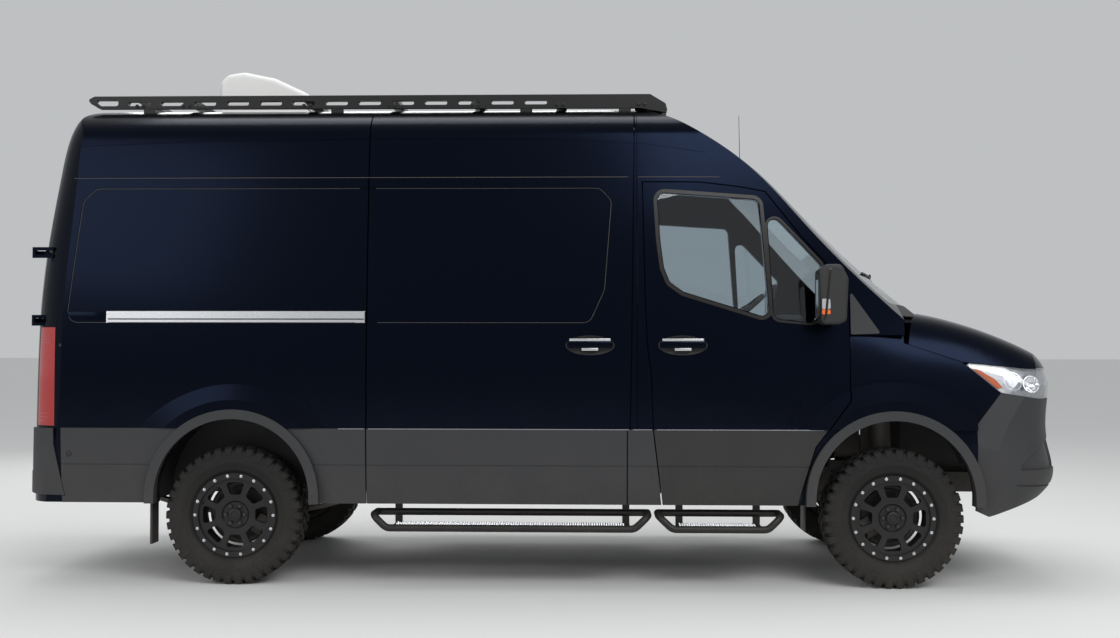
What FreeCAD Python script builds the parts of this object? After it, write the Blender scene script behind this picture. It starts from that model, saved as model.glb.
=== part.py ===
"""High-roof camper van on off-road tyres, with a roof rack, a roof fan and tubular side steps.

Millimetres. X runs forward, Y to the vehicle's left and Z up. The origin is on the ground,
midway between the bumpers' ends and on the centre plane.
"""
import FreeCAD
import Part
import math
import os

Vec = FreeCAD.Vector

# Overall
wheelbase = 3665.0
front_overhang = 1035.0
rear_overhang = 1232.0
half_width = 1006.0
roof_z = 2738.0
shoulder_z = 2500.0
belt_z = 1150.0
sill_z = 456.0

# Places that follow from the overall sizes
half_length = (wheelbase + front_overhang + rear_overhang) / 2
rear_axle_x = rear_overhang - half_length
front_axle_x = rear_axle_x + wheelbase

# Walls and gaps
wall = 56.0
nose_wall = 34.0
shut_gap = 7.0
seam_gap = 3.0
flange_reach = 20.0
flange_thick = 22.0
fit_gap = 0.3
clad_proud = 9.0
glass_set = 7.0
glass_thick = 5.0
window_gap = 0.3
overrun = 150.0

# Section of the body
roof_tumblehome = 130.0
sill_tuck = 38.0
cab_taper = 95.0
taper_rise = 640.0
taper_fade_share = 0.4
shoulder_power = 4.0
crown_power = 2.1
clad_top_z = 874.0
clad_groove_z = 668.0

# Shut lines seen from the side
slide_rear_x = -983.0
slide_front_x = 484.0
slide_top_z = 2652.0
cab_door_rear_x = 560.0
roof_split_z = 2655.0
screen_foot_x = 1990.0
pillar_x = 520.0

# Wheels
tyre_radius = 385.0
tyre_width = 248.0
bead_radius = 215.9
flange_radius = 234.0
rim_half_width = 96.0
track_half = 857.0
arch_radius = 434.0
arch_z = 492.0
flare_width = 53.0
flare_proud = 20.0
bulge_radius = 620.0
bulge_inner_radius = 540.0
bulge_proud = 14.0
liner_radius = 474.0
liner_thick = 5.0
liner_inner_y = 480.0
kingpin_y = 735.0
spindle_radius = 22.0
running_gap = 0.05


def v(x, y, z):
    return Vec(x, y, z)


def box(x0, x1, y0, y1, z0, z1):
    return Part.makeBox(x1 - x0, y1 - y0, z1 - z0, v(x0, y0, z0))


def mirror(shape):
    return shape.mirror(v(0, 0, 0), v(0, 1, 0))


def line(a, b):
    return Part.LineSegment(a, b).toShape()


def rounded_wire(points, radius):
    """Closed wire through coplanar corners, each rounded as far as its two sides leave room."""
    ends = []
    count = len(points)
    for i in range(count):
        before, here, after = points[i - 1], points[i], points[(i + 1) % count]
        to_before = (before - here).normalize()
        to_after = (after - here).normalize()
        half = to_before.getAngle(to_after) / 2
        room = min((before - here).Length, (after - here).Length) * 0.48
        reach = min(radius / math.tan(half), room)
        r = reach * math.tan(half)
        middle = (to_before + to_after).normalize()
        centre = here + middle * (r / math.sin(half))
        ends.append((here + to_before * reach, centre - middle * r, here + to_after * reach))
    edges = []
    for i in range(count):
        a, mid, b = ends[i]
        edges.append(Part.Arc(a, mid, b).toShape())
        edges.append(line(b, ends[(i + 1) % count][0]))
    return Part.Wire(edges)


def outline(points, radius):
    if radius:
        return Part.Face(rounded_wire(points, radius))
    return Part.Face(Part.makePolygon(points + points[:1]))


def prism_y(points, y0, y1, radius=0.0):
    """(x, z) outline extruded from y0 to y1."""
    return outline([v(x, y0, z) for x, z in points], radius).extrude(v(0, y1 - y0, 0))


def prism_x(points, x0, x1, radius=0.0):
    """(y, z) outline extruded from x0 to x1."""
    return outline([v(x0, y, z) for y, z in points], radius).extrude(v(x1 - x0, 0, 0))


def prism_z(points, z0, z1, radius=0.0):
    """(x, y) outline extruded from z0 to z1."""
    return outline([v(x, y, z0) for x, y in points], radius).extrude(v(0, 0, z1 - z0))


def cylinder_y(x, z, radius, y0, y1):
    return Part.makeCylinder(radius, y1 - y0, v(x, y0, z), v(0, 1, 0))


def cylinder_z(x, y, radius, z0, z1):
    return Part.makeCylinder(radius, z1 - z0, v(x, y, z0))


def rod(a, b, radius):
    return Part.makeCylinder(radius, (b - a).Length, a, b - a)


def fuse(shapes):
    joined = shapes[0]
    for other in shapes[1:]:
        joined = joined.fuse(other)
    return joined


def both_sides(shape):
    return Part.makeCompound(shape.Solids + mirror(shape).Solids)


def save(name, shape):
    os.makedirs("parts", exist_ok=True)
    solids = shape.Solids
    shape = solids[0] if len(solids) == 1 else Part.makeCompound(solids)
    shape.exportStep("parts/" + name + ".step")
    print(name, len(solids), "solids", round(shape.Volume / 1e9, 5), "m3", shape.isValid(),
          [round(c) for c in (shape.BoundBox.XMin, shape.BoundBox.XMax, shape.BoundBox.YMin,
                              shape.BoundBox.YMax, shape.BoundBox.ZMin, shape.BoundBox.ZMax)])


# Body surfaces

def smooth(table, x):
    """Cubic through the table's (x, value) points, straight beyond both ends."""
    count = len(table)
    i = 0
    while i < count - 2 and x > table[i + 1][0]:
        i += 1
    x0, y0 = table[i]
    x1, y1 = table[i + 1]
    straight = (y1 - y0) / (x1 - x0)
    before = (y0 - table[i - 1][1]) / (x0 - table[i - 1][0]) if i > 0 else straight
    after = (table[i + 2][1] - y1) / (table[i + 2][0] - x1) if i + 2 < count else straight
    m0, m1 = (before + straight) / 2, (straight + after) / 2
    if x < x0:
        return y0 + straight * (x - x0)
    if x > x1:
        return y1 + straight * (x - x1)
    h = x1 - x0
    t = (x - x0) / h
    return (y0 * (1 + 2 * t) * (1 - t) ** 2 + y1 * t * t * (3 - 2 * t)
            + h * t * (1 - t) * (m0 * (1 - t) - m1 * t))


def spread(a, b, count):
    return [a + (b - a) * i / (count - 1) for i in range(count)]


def side_y(x, z):
    """Half-width of the body side."""
    if z >= belt_z:
        y = half_width - roof_tumblehome * ((z - belt_z) / (roof_z - belt_z)) ** 1.9
    else:
        y = half_width - sill_tuck * ((belt_z - z) / (belt_z - sill_z)) ** 2.2
    if x > cab_door_rear_x and z > clad_top_z:
        along = ((x - cab_door_rear_x) / (screen_foot_x - cab_door_rear_x)) ** 2
        up = min((z - clad_top_z) / taper_rise, 1.0)
        y -= cab_taper * along * (1 + taper_fade_share) / (1 + taper_fade_share * along) * up ** 1.3
    return y


def grid_face(rows):
    """Cubic face drawn by a grid of poles, so it never swings outside them."""
    surface = Part.BSplineSurface()
    counts = (len(rows), len(rows[0]))
    mults = [[4] + [1] * (count - 4) + [4] for count in counts]
    knots = [[float(k) for k in range(count - 2)] for count in counts]
    surface.buildFromPolesMultsKnots(rows, mults[0], mults[1], knots[0], knots[1], False, False, 3, 3)
    return surface.toShape()


side_levels = (0.0, 0.1, 0.2, 0.3, 0.4, 0.5, 0.6, 0.7, 0.8, 0.9)
turn_shares = (0.0, 0.13, 0.26, 0.39, 0.52, 0.64, 0.75, 0.85, 0.93, 0.98)
station_count = 22


def section_points(x, inset):
    low_z = sill_z - overrun
    half = []
    for share in side_levels:
        z = low_z + share * (shoulder_z - low_z)
        half.append((side_y(x, z) - inset, z))
    foot = side_y(x, shoulder_z) - inset
    rise = roof_z - shoulder_z - inset
    for share in turn_shares:
        angle = share * math.pi / 2
        half.append((foot * math.cos(angle) ** (2 / shoulder_power),
                     shoulder_z + rise * math.sin(angle) ** (2 / crown_power)))
    points = [v(x, -y, z) for y, z in half] + [v(x, 0, shoulder_z + rise)]
    return points + [v(x, y, z) for y, z in reversed(half)]


def body_tube(inset):
    """The body's section carried from end to end."""
    rows = [section_points(x, inset)
            for x in spread(-half_length - overrun, half_length + overrun, station_count)]
    skin = grid_face(rows)
    first, last = rows[0], rows[-1]
    corners = [first[0], first[-1], last[-1], last[0]]
    ends = []
    for edge in skin.Edges:
        box_size = edge.BoundBox
        if box_size.XLength < fit_gap:
            a, b = edge.Vertexes[0].Point, edge.Vertexes[-1].Point
            ends.append(Part.Face(Part.Wire([edge, line(b, a)])))
    sills = [edge for edge in skin.Edges if edge.BoundBox.XLength > half_length]
    floor = Part.makeRuledSurface(sills[0], sills[1])
    shell = Part.makeShell([skin] + ends + [floor])
    shell.sewShape()
    solid = Part.Solid(shell)
    if solid.Volume < 0:
        solid.reverse()
    return solid


top_table = ((-100.0, 2805.0), (300.0, 2775.0), (560.0, 2722.0), (753.0, 2669.0), (951.0, 2577.0),
             (1193.0, 2437.0), (1377.0, 2297.0), (1453.0, 2226.0), (1639.0, 2041.0), (1829.0, 1864.0),
             (2033.0, 1690.0), (2149.0, 1598.0), (2400.0, 1400.0))
screen_bow_ref_y = 900.0


def top_height(x, y):
    bow = 50.0 + 190.0 * max(0.0, min(1.0, (x - 600.0) / 1400.0))
    return smooth(top_table, x + bow * (y / screen_bow_ref_y) ** 2) - 30.0 * (y / screen_bow_ref_y) ** 2


def top_volume(drop):
    """Everything below the front of the roof and the windscreen."""
    wide = half_width + overrun
    rows = []
    for x in spread(top_table[0][0], top_table[-1][0], 26):
        rows.append([v(x, y, top_height(x, y) - drop) for y in spread(-wide, wide, 13)])
    return grid_face(rows).extrude(v(0, 0, -roof_z))


bonnet_table = ((1300.0, 1760.0), (1500.0, 1730.0), (1800.0, 1650.0), (1950.0, 1578.0), (2055.0, 1556.0),
                (2223.0, 1526.0), (2495.0, 1446.0), (2770.0, 1326.0), (2860.0, 1270.0), (3050.0, 1120.0))
bonnet_edge_y = 880.0
bonnet_edge_drop = 78.0
bonnet_edge_reach = 62.0


def bonnet_volume(drop):
    wide = half_width + overrun / 3
    rows = []
    for x in spread(bonnet_table[0][0], half_length + overrun, 19):
        row = []
        for y in spread(-wide, wide, 27):
            fall = 30.0 * (y / bonnet_edge_y) ** 2
            fall += bonnet_edge_drop * math.exp((abs(y) - bonnet_edge_y) / bonnet_edge_reach)
            row.append(v(x, y, smooth(bonnet_table, x) - fall - drop))
        rows.append(row)
    return grid_face(rows).extrude(v(0, 0, -roof_z))


nose_table = ((200.0, 2760.0), (396.0, 2800.0), (468.0, 2850.0), (540.0, 2935.0), (645.0, 2966.0),
              (720.0, 2950.0), (838.0, 2922.0), (960.0, 2922.0), (1096.0, 2936.0), (1190.0, 2926.0),
              (1260.0, 2890.0), (1340.0, 2800.0), (1500.0, 2560.0))
nose_plan_table = ((0.0, 0.0), (350.0, 12.0), (600.0, 48.0), (750.0, 92.0), (860.0, 160.0),
                   (930.0, 245.0), (980.0, 360.0), (1010.0, 500.0), (1050.0, 760.0))


def nose_volume(inset):
    """Everything behind the front face and its rounded corners."""
    wide = half_width + overrun / 3
    rows = []
    for z in spread(200.0, 1640.0, 25):
        row = []
        for y in spread(-wide, wide, 41):
            back = smooth(nose_plan_table, abs(y) + inset * (abs(y) / wide) ** 3)
            row.append(v(smooth(nose_table, z) - back - inset, y, z))
        rows.append(row)
    return grid_face(rows).extrude(v(-half_length, 0, 0))


rear_table = ((200.0, -2950.0), (853.0, -2948.0), (1438.0, -2936.0), (1592.0, -2928.0), (1876.0, -2900.0),
              (2276.0, -2838.0), (2500.0, -2795.0), (2610.0, -2752.0), (2680.0, -2690.0), (2722.0, -2600.0),
              (2760.0, -2420.0), (2800.0, -2120.0))
rear_plan_table = ((0.0, 0.0), (500.0, 6.0), (750.0, 20.0), (860.0, 46.0), (920.0, 82.0), (960.0, 128.0),
                   (1000.0, 210.0), (1050.0, 370.0))


def rear_volume(inset):
    """Everything in front of the rear face and its rounded corners."""
    wide = half_width + overrun / 3
    rows = []
    for z in spread(200.0, 2800.0, 40):
        row = []
        lean_in = half_width - side_y(0.0, max(z, belt_z))
        for y in spread(-wide, wide, 41):
            back = smooth(rear_plan_table, abs(y) + (lean_in + inset) * (abs(y) / wide) ** 3)
            row.append(v(smooth(rear_table, z) + back + inset, y, z))
        rows.append(row)
    return grid_face(rows).extrude(v(half_length * 2 + overrun, 0, 0))



# Panels of the cabin

slide_outline = ((slide_rear_x, 380.0), (slide_rear_x, slide_top_z), (slide_front_x + 18.0, slide_top_z),
                 (slide_front_x, 1313.0), (slide_front_x - 16.0, 380.0))
door_outline = ((668.0, 380.0), (645.0, 594.0), (611.0, 871.0), (600.0, 1175.0), (578.0, 1340.0),
                (567.0, 1589.0), (552.0, 2249.0), (869.0, 2248.0), (1092.0, 2222.0), (1232.0, 2196.0),
                (1424.0, 1953.0), (1606.0, 1752.0), (1693.0, 1563.0), (1693.0, 1314.0), (1687.0, 1034.0),
                (1600.0, 918.0), (1496.0, 780.0), (1425.0, 543.0), (1380.0, 380.0))
main_window_outline = ((632.0, 2190.0), (648.0, 1923.0), (668.0, 1770.0), (700.0, 1690.0), (775.0, 1636.0),
                       (1251.0, 1489.0), (1196.0, 2151.0))
quarter_window_outline = ((1240.0, 2106.0), (1543.0, 1786.0), (1512.0, 1465.0), (1278.0, 1487.0))
window_radius = 38.0
d_seam_outline = ((-3200.0, 380.0), (-2664.0, 380.0), (-2684.0, 496.0), (-2706.0, 600.0),
                  (-2742.0, 780.0), (-2746.0, 1448.0),
                  (-2684.0, 2270.0), (-2620.0, 2740.0), (-2560.0, 3000.0), (-3200.0, 3000.0))
rear_door_outline = ((4.5, 632.0), (900.0, 632.0), (896.0, 1700.0), (850.0, 2250.0), (806.0, 2560.0),
                     (4.5, 2575.0))
rear_window_outline = ((120.0, 1520.0), (800.0, 1520.0), (770.0, 2170.0), (120.0, 2170.0))
tail_lamp_outline = ((-3100.0, 884.0), (-2743.6, 884.0), (-2746.8, 1436.0), (-3100.0, 1436.0))
cab_outline = ((pillar_x, sill_z), (1000.0, sill_z), (1000.0, 1397.0), (2002.0, 1397.0), (2002.0, 1505.0),
               (2400.0, 1505.0), (2400.0, 3000.0), (pillar_x, 3000.0))
screen_outline = ((960.0, 2750.0), (2226.0, 1529.0), (2500.0, 1529.0), (2500.0, 2750.0))
bonnet_outline = ((2005.0, 1900.0), (2005.0, 1354.0), (2322.0, 1249.0), (2675.0, 1214.0), (3200.0, 1205.0),
                  (3200.0, 1900.0))
lamp_outline = ((2322.0, 1246.0), (2675.0, 1211.0), (3200.0, 1202.0), (3200.0, 1044.0), (2753.0, 1044.0),
                (2525.0, 1077.0))
bumper_outline = ((2384.0, 428.0), (2384.0, 904.0), (2522.0, 1075.0), (2753.0, 1043.6), (3200.0, 1043.6),
                  (3200.0, 640.0), (2870.0, 524.0), (2683.0, 467.0), (2450.0, 398.0))
wing_outline = ((1380.0, sill_z), (1380.0, 560.0), (1600.0, 1000.0), (1693.0, 1060.0), (1693.0, 1396.6),
                (2001.5, 1396.6), (2001.5, 1352.0), (2319.0, 1246.0), (2522.0, 1077.0), (2519.0, 1073.0),
                (2381.0, 903.0), (2381.0, sill_z))
rear_bumper_outline = ((-3100.0, 520.0), (-2860.0, 500.0), (-2685.0, 496.0), (-2707.0, 600.0),
                       (-2743.0, 780.0), (-2745.0, 872.0), (-3100.0, 872.0))
grille_half_y = 585.0
grille_low_z = 905.0
grille_top_z = 1200.0
wide = 1400.0
far_x = 3200.0
rear_cut_x = -2600.0
far_z = 4000.0
skirt_cut_z = 2000.0


def grown(points, gap):
    """The outline moved outward by a gap, as a face offset."""
    count = len(points)
    turn = sum(a[0] * b[1] - b[0] * a[1] for a, b in zip(points, points[1:] + points[:1]))
    sign = 1.0 if turn > 0 else -1.0
    moved = []
    for i in range(count):
        before, here, after = points[i - 1], points[i], points[(i + 1) % count]
        a = Vec(here[0] - before[0], here[1] - before[1], 0).normalize()
        b = Vec(after[0] - here[0], after[1] - here[1], 0).normalize()
        na, nb = Vec(a.y, -a.x, 0) * sign, Vec(b.y, -b.x, 0) * sign
        middle = (na + nb) * (gap / (1 + na.dot(nb)))
        moved.append((here[0] + middle.x, here[1] + middle.y))
    return tuple(moved)


def side_slab(points, gap=0.0, radius=0.0, side=-1):
    """Prism through the body side, on the right (-1) or left (1)."""
    prism = prism_y(grown(points, gap) if gap else points, 0.0, wide, radius)
    return mirror(prism) if side < 0 else prism


def bulge(x, side):
    """Painted swelling over one arch, above the grey lower skin."""
    cone = Part.makeCone(bulge_radius + 24.0, bulge_inner_radius, bulge_proud + 4.0,
                         v(x, half_width - 4.0, arch_z), v(0, 1, 0))
    base = cylinder_y(x, arch_z, bulge_radius + 24.0, half_width - 40.0, half_width - 4.0)
    limit = front_axle_x + 450.0
    keep = box(x - wide, min(x + wide, limit), 0.0, wide, clad_top_z, roof_z)
    swell = cone.fuse(base).cut(cylinder_y(x, arch_z, arch_radius, 0.0, wide)).common(keep)
    return mirror(swell) if side < 0 else swell


def arch_cutter(x, side, radius=arch_radius):
    cut = cylinder_y(x, arch_z, radius, liner_inner_y, wide)
    below = box(x - radius, x + radius, liner_inner_y, wide, 0.0, arch_z)
    cut = cut.fuse(below)
    return mirror(cut) if side < 0 else cut


def cut_arches(shape):
    for x in (rear_axle_x, front_axle_x):
        for side in (-1, 1):
            shape = shape.cut(arch_cutter(x, side))
    return shape


class Surfaces:
    """The big volumes, each made once."""

    def __init__(self):
        low = box(-far_x, far_x, -wide, wide, sill_z, far_z)
        self.tube = body_tube(0.0)
        self.tube_in = body_tube(wall)
        self.rear = rear_volume(0.0)
        self.rear_in = rear_volume(wall)
        behind = box(-far_x, pillar_x - seam_gap, -wide, wide, sill_z, far_z)
        ahead = box(pillar_x, 2400.0, -wide, wide, sill_z, far_z)
        solid = self.tube.common(behind).common(self.rear)
        inside = self.tube_in.common(self.rear_in)
        self.rear_shell = cut_arches(solid.cut(inside))
        self.seat_skin = body_tube(wall + fit_gap).cut(body_tube(wall + flange_thick)).common(
            box(rear_cut_x, 2300.0, -wide, wide, sill_z, 2640.0))
        self.top = top_volume(0.0)
        top_in = top_volume(wall * 1.25)
        cab_block = box(0.0, 2400.0, -wide, wide, 0.0, far_z)
        self.cab_inside = self.tube_in.common(cab_block).common(top_in)
        self.cab_shell = self.tube.common(ahead).common(self.top).cut(self.cab_inside)
        nose_block = box(1350.0, far_x, -wide, wide, 300.0, 2000.0)
        nose_out = self.tube.common(nose_block).common(bonnet_volume(0.0)).common(nose_volume(0.0))
        nose_in = body_tube(nose_wall).common(bonnet_volume(nose_wall)).common(nose_volume(nose_wall))
        self.nose_shell = nose_out.cut(nose_in)
        self.nose_inside = nose_in


press_depth = 6.0
press_radius = 60.0
press_land = 56.0
line_depth = 3.0
line_width = 6.0
seam_line_z = 2280.0
press_outline = ((-2682.0, 1460.0), (-2607.0, 2154.0), (-2533.0, 2222.0), (313.0, 2220.0), (380.0, 2148.0),
                 (341.0, 1645.0), (258.0, 1460.0))
swage_points = ((-2640.0, 2461.0), (-1800.0, 2489.0), (-800.0, 2499.0), (100.0, 2492.0), (560.0, 2466.0),
                (900.0, 2416.0))
low_press_outline = ((-1232.0, 912.0), (-1345.0, 1046.0), (1420.0, 1046.0), (1412.0, 912.0))
low_press_depth = 4.0
low_press_radius = 24.0


def pressed(region, depth):
    """What a pressing or line takes out of the body side."""
    return region.cut(body_tube(depth))


def side_details(side):
    """Window-shaped pressings, the roof seam, the swage line and the low pressing of one side."""
    panel = side_slab(press_outline, 0.0, press_radius, side)
    if side > 0:
        land = box(slide_rear_x - press_land / 2, slide_rear_x + press_land / 2, 0.0, wide, belt_z, roof_z)
        panel = panel.cut(land)
    low = side_slab(low_press_outline, 0.0, low_press_radius, side)
    above = tuple((x, z + line_width) for x, z in swage_points)
    swage = side_slab(swage_points + above[::-1], 0.0, 0.0, side)
    seam = side_slab(((swage_points[0][0], seam_line_z), (swage_points[0][0], seam_line_z + line_width),
                      (pillar_x + wall, seam_line_z + line_width), (pillar_x + wall, seam_line_z)), 0.0, 0.0, side)
    cuts = [pressed(panel, press_depth), pressed(low, low_press_depth)]
    cuts += [pressed(swage, line_depth), pressed(seam, line_depth)]
    return Part.makeCompound([solid for cut in cuts for solid in cut.Solids])


def flange_ring(points, side, inner_tube, reach_in, reach_out):
    """Seat behind a door, along the edge of its opening."""
    ring = side_slab(grown(points, reach_out), 0.0, 0.0, side).cut(
        side_slab(grown(points, -reach_in), 0.0, 0.0, side))
    return inner_tube.common(ring)


def rear_quarter(s, side):
    """Body side behind the sliding door, or all of it on the left."""
    front = slide_rear_x - shut_gap if side < 0 else pillar_x - seam_gap
    slab = box(-far_x, front, 0.0, wide, sill_z, roof_split_z)
    slab = mirror(slab) if side < 0 else slab
    region = slab.cut(side_slab(d_seam_outline, fit_gap, 0.0, side))
    panel = s.rear_shell.common(region).cut(s.details[side])
    return panel.fuse(bulge(rear_axle_x, side)).removeSplitter()


def sliding_door(s):
    door = s.rear_shell.common(side_slab(slide_outline, 0.0, 0.0, -1).common(
        box(-1200.0, pillar_x - seam_gap, -wide, 0.0, sill_z, slide_top_z)))
    return door.cut(s.details[-1])


def slide_flange(s):
    """Seat behind the sliding door, down to the floor."""
    ring = flange_ring(slide_outline, -1, s.seat_skin, flange_reach, shut_gap + 22.0)
    return ring.common(box(-1200.0, pillar_x - seam_gap - fit_gap, -wide, 0.0, 640.0, 2600.0))


def slide_surround(s):
    """Strip between the sliding door and the cab, and above the door."""
    region = box(slide_rear_x - shut_gap, pillar_x - seam_gap, -wide, 0.0, sill_z, roof_split_z)
    return s.rear_shell.common(region).cut(side_slab(slide_outline, shut_gap, 0.0, -1)).cut(s.details[-1])


def roof_panel(s):
    region = box(-far_x, pillar_x - seam_gap, -wide, wide, roof_split_z + fit_gap, 3000.0)
    region = region.cut(prism_y(grown(d_seam_outline, fit_gap), -wide, wide))
    return s.rear_shell.common(region)


rear_door_radius = 30.0
tail_lamp_inner_y = 908.0
door_split_half = 20.0
door_split_top_z = 2575.0
rear_opening = ((900.0, 632.0), (896.0, 1700.0), (850.0, 2250.0), (806.0, 2568.0))
rear_seat_x = -2500.0
seat_cut_x = -2400.0
seat_outer_reach = 14.0
seat_into_wall = 1.0


def rear_frame(s):
    """Corner posts, the header above the rear doors and the sill below them."""
    frame = s.rear_shell.common(prism_y(d_seam_outline, -wide, wide))
    for side in (-1, 1):
        door = prism_x(grown(rear_door_outline, shut_gap), -far_x, rear_cut_x, rear_door_radius)
        lamp = prism_y(grown(tail_lamp_outline, fit_gap), 0.0, wide).common(
            box(-far_x, 0.0, tail_lamp_inner_y - fit_gap, wide, 0.0, far_z))
        if side < 0:
            door, lamp = mirror(door), mirror(lamp)
        frame = frame.cut(door).cut(lamp)
    frame = frame.cut(box(-far_x, seat_cut_x, -door_split_half, door_split_half, rear_opening[0][1] - shut_gap,
                          door_split_top_z))
    whole = tuple((-y, z) for y, z in rear_opening) + tuple((y, z) for y, z in reversed(rear_opening))
    ring = prism_x(grown(whole, shut_gap + seat_outer_reach), -far_x, rear_seat_x).cut(
        prism_x(grown(whole, -flange_reach), -far_x, seat_cut_x))
    seat = rear_volume(wall + fit_gap).cut(rear_volume(wall + flange_thick))
    seat = seat.common(ring).common(body_tube(wall - seat_into_wall)).common(
        prism_y(grown(d_seam_outline, -seam_gap), -wide, wide))
    posts = [hinge_post(z) for z in hinge_levels]
    frame = fuse([frame, seat] + posts + [mirror(post) for post in posts]).removeSplitter()
    return frame.cut(prism_y(grown(rear_bumper_outline, fit_gap), -wide, wide))


def tail_lamps(s):
    lamp = s.rear_shell.common(prism_y(tail_lamp_outline, 0.0, wide)).common(
        box(-far_x, 0.0, tail_lamp_inner_y, wide, 0.0, far_z))
    return both_sides(lamp)


door_press_outline = ((130.0, 780.0), (790.0, 780.0), (785.0, 1400.0), (130.0, 1400.0))
meeting_slant = 12.0
hinge_rebate = 60.0
hinge_edge_thick = 24.0
hinge_x = -2892.0
hinge_y = 925.0
hinge_levels = (1476.0, 1860.0)
strap_height = 56.0
strap_inner_y = 808.0
strap_overlap = 14.0
strap_thick = 10.0
strap_radius = 12.0
knuckle_radius = 13.0
knuckle_height = 24.0
pin_radius = 5.0
post_knuckle_height = 18.0
knuckle_gap = 0.5


def hinge_strap(z):
    """Strap on a rear door that ends in a bored knuckle."""
    corners = ((strap_inner_y, z - strap_height / 4), (rear_door_outline[1][0] - strap_height / 2, z - strap_height / 2),
               (rear_door_outline[1][0] - strap_height / 2, z + strap_height / 2), (strap_inner_y, z + strap_height / 4))
    plate = prism_x(corners, -far_x, rear_cut_x, strap_radius).common(rear_volume(-strap_thick))
    plate = plate.cut(rear_volume(wall / 2))
    low, top = z - knuckle_height / 2, z + knuckle_height / 2
    arm_y = strap_inner_y + strap_overlap
    arm = box(hinge_x - strap_thick / 2, hinge_x + strap_thick / 2, arm_y, hinge_y, low, top)
    web = box(hinge_x - strap_thick / 2, hinge_x + wall * 2, arm_y, arm_y + strap_height, low, top).cut(
        rear_volume(wall / 2))
    knuckle = cylinder_z(hinge_x, hinge_y, knuckle_radius, low, top)
    bore = cylinder_z(hinge_x, hinge_y, pin_radius + running_gap, low - knuckle_gap, top + knuckle_gap)
    return fuse([plate, arm, web, knuckle]).cut(bore)


def hinge_post(z):
    """Pin between two knuckles carried by the corner post."""
    low, top = z - knuckle_height / 2 - knuckle_gap, z + knuckle_height / 2 + knuckle_gap
    pieces = [cylinder_z(hinge_x, hinge_y, pin_radius, low - post_knuckle_height, top + post_knuckle_height)]
    for z0, z1 in ((low - post_knuckle_height, low), (top, top + post_knuckle_height)):
        pieces.append(cylinder_z(hinge_x, hinge_y, knuckle_radius, z0, z1))
        arm = box(hinge_x, hinge_x + wall * 2, hinge_y - knuckle_radius / 2, hinge_y + knuckle_radius, z0, z1)
        pieces.append(arm.cut(rear_volume(wall / 2)))
    return fuse(pieces)


def rear_door(s, side):
    """Half of the rear doorway, with its window hole, pressing and hinge straps."""
    prism = prism_x(rear_door_outline, -far_x, rear_cut_x, 26.0)
    hole = prism_x(rear_window_outline, -far_x, rear_cut_x, 50.0)
    hollow = prism_x(door_press_outline, -far_x, rear_cut_x, press_radius).cut(rear_volume(press_depth))
    block = s.tube.common(box(-far_x, -2000.0, 0.0, wide, sill_z, far_z)).common(s.rear)
    door = block.cut(s.rear_in).common(prism).cut(hole).cut(hollow)
    door = door.cut(rear_volume(wall / 2).common(box(-far_x, -2000.0, -meeting_slant, meeting_slant, 0.0, roof_z)))
    hinge_edge = prism.cut(prism_x(grown(rear_door_outline, -hinge_rebate), -far_x, rear_cut_x)).common(
        box(-far_x, -2000.0, rear_door_outline[1][0] / 2, wide, rear_door_outline[0][1] + flange_reach, roof_z))
    door = door.cut(hinge_edge.common(rear_volume(hinge_edge_thick)))
    door = fuse([door] + [hinge_strap(z) for z in hinge_levels]).removeSplitter()
    return mirror(door) if side < 0 else door


def rear_door_glass(s, side):
    hole = prism_x(grown(rear_window_outline, -window_gap), -far_x, rear_cut_x, 49.0)
    if side < 0:
        hole = mirror(hole)
    return hole.common(rear_volume(glass_set)).cut(rear_volume(glass_set + glass_thick))


door_rebate = 8.0
door_rebate_x = 1640.0


def front_door(s, side):
    slab = side_slab(door_outline, 0.0, 0.0, side)
    body = s.cab_shell.common(slab)
    for window in (main_window_outline, quarter_window_outline):
        body = body.cut(side_slab(window, 0.0, window_radius, side))
    body = body.cut(s.details[side]).cut(
        body_tube(wall - door_rebate).common(box(door_rebate_x, pillar_x + wheelbase, -wide, wide, belt_z, roof_z)))
    return body.fuse(bulge(front_axle_x, side).common(slab)).removeSplitter()


def front_door_glass(s, side):
    slice_out = body_tube(glass_set)
    slice_in = body_tube(glass_set + glass_thick)
    panes = []
    for window in (main_window_outline, quarter_window_outline):
        slab = side_slab(window, -window_gap, window_radius, side).common(
            box(0.0, 2400.0, -wide, wide, 1000.0, 2600.0))
        panes += slab.common(slice_out).cut(slice_in).Solids
    return Part.makeCompound(panes)


cowl_top_z = 1572.0
cowl_rear_x = 2002.0


def cowl_region(gap):
    """Black tray at the foot of the windscreen."""
    return box(cowl_rear_x - gap, 2400.0, -wide, wide, 1400.0, cowl_top_z + gap)


def cab_frame(s):
    frame = s.cab_shell.common(prism_y(cab_outline, -wide, wide))
    for side in (-1, 1):
        frame = frame.cut(side_slab(door_outline, shut_gap, 0.0, side))
        seat = flange_ring(door_outline, side, s.seat_skin, flange_reach, shut_gap + 14.0)
        seat = seat.common(top_volume(wall * 1.25 - 2.0)).common(
            box(pillar_x + 2.0, 1720.0, -wide, wide, 640.0, 2400.0))
        seat = seat.cut(cylinder_y(front_axle_x, arch_z, 500.0, -wide, wide))
        frame = frame.fuse(seat)
    frame = frame.cut(s.details[1]).cut(s.details[-1]).cut(cowl_region(fit_gap))
    return frame.cut(screen_hole(0.0)).removeSplitter()


def cowl(s):
    tray = s.cab_shell.common(prism_y(cab_outline, -wide, wide)).common(cowl_region(0.0))
    return tray.common(bonnet_edge(-shut_gap)).cut(screen_hole(0.0))


screen_half_y = 860.0
screen_low_z = 1575.0
screen_half_top_y = 760.0


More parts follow.
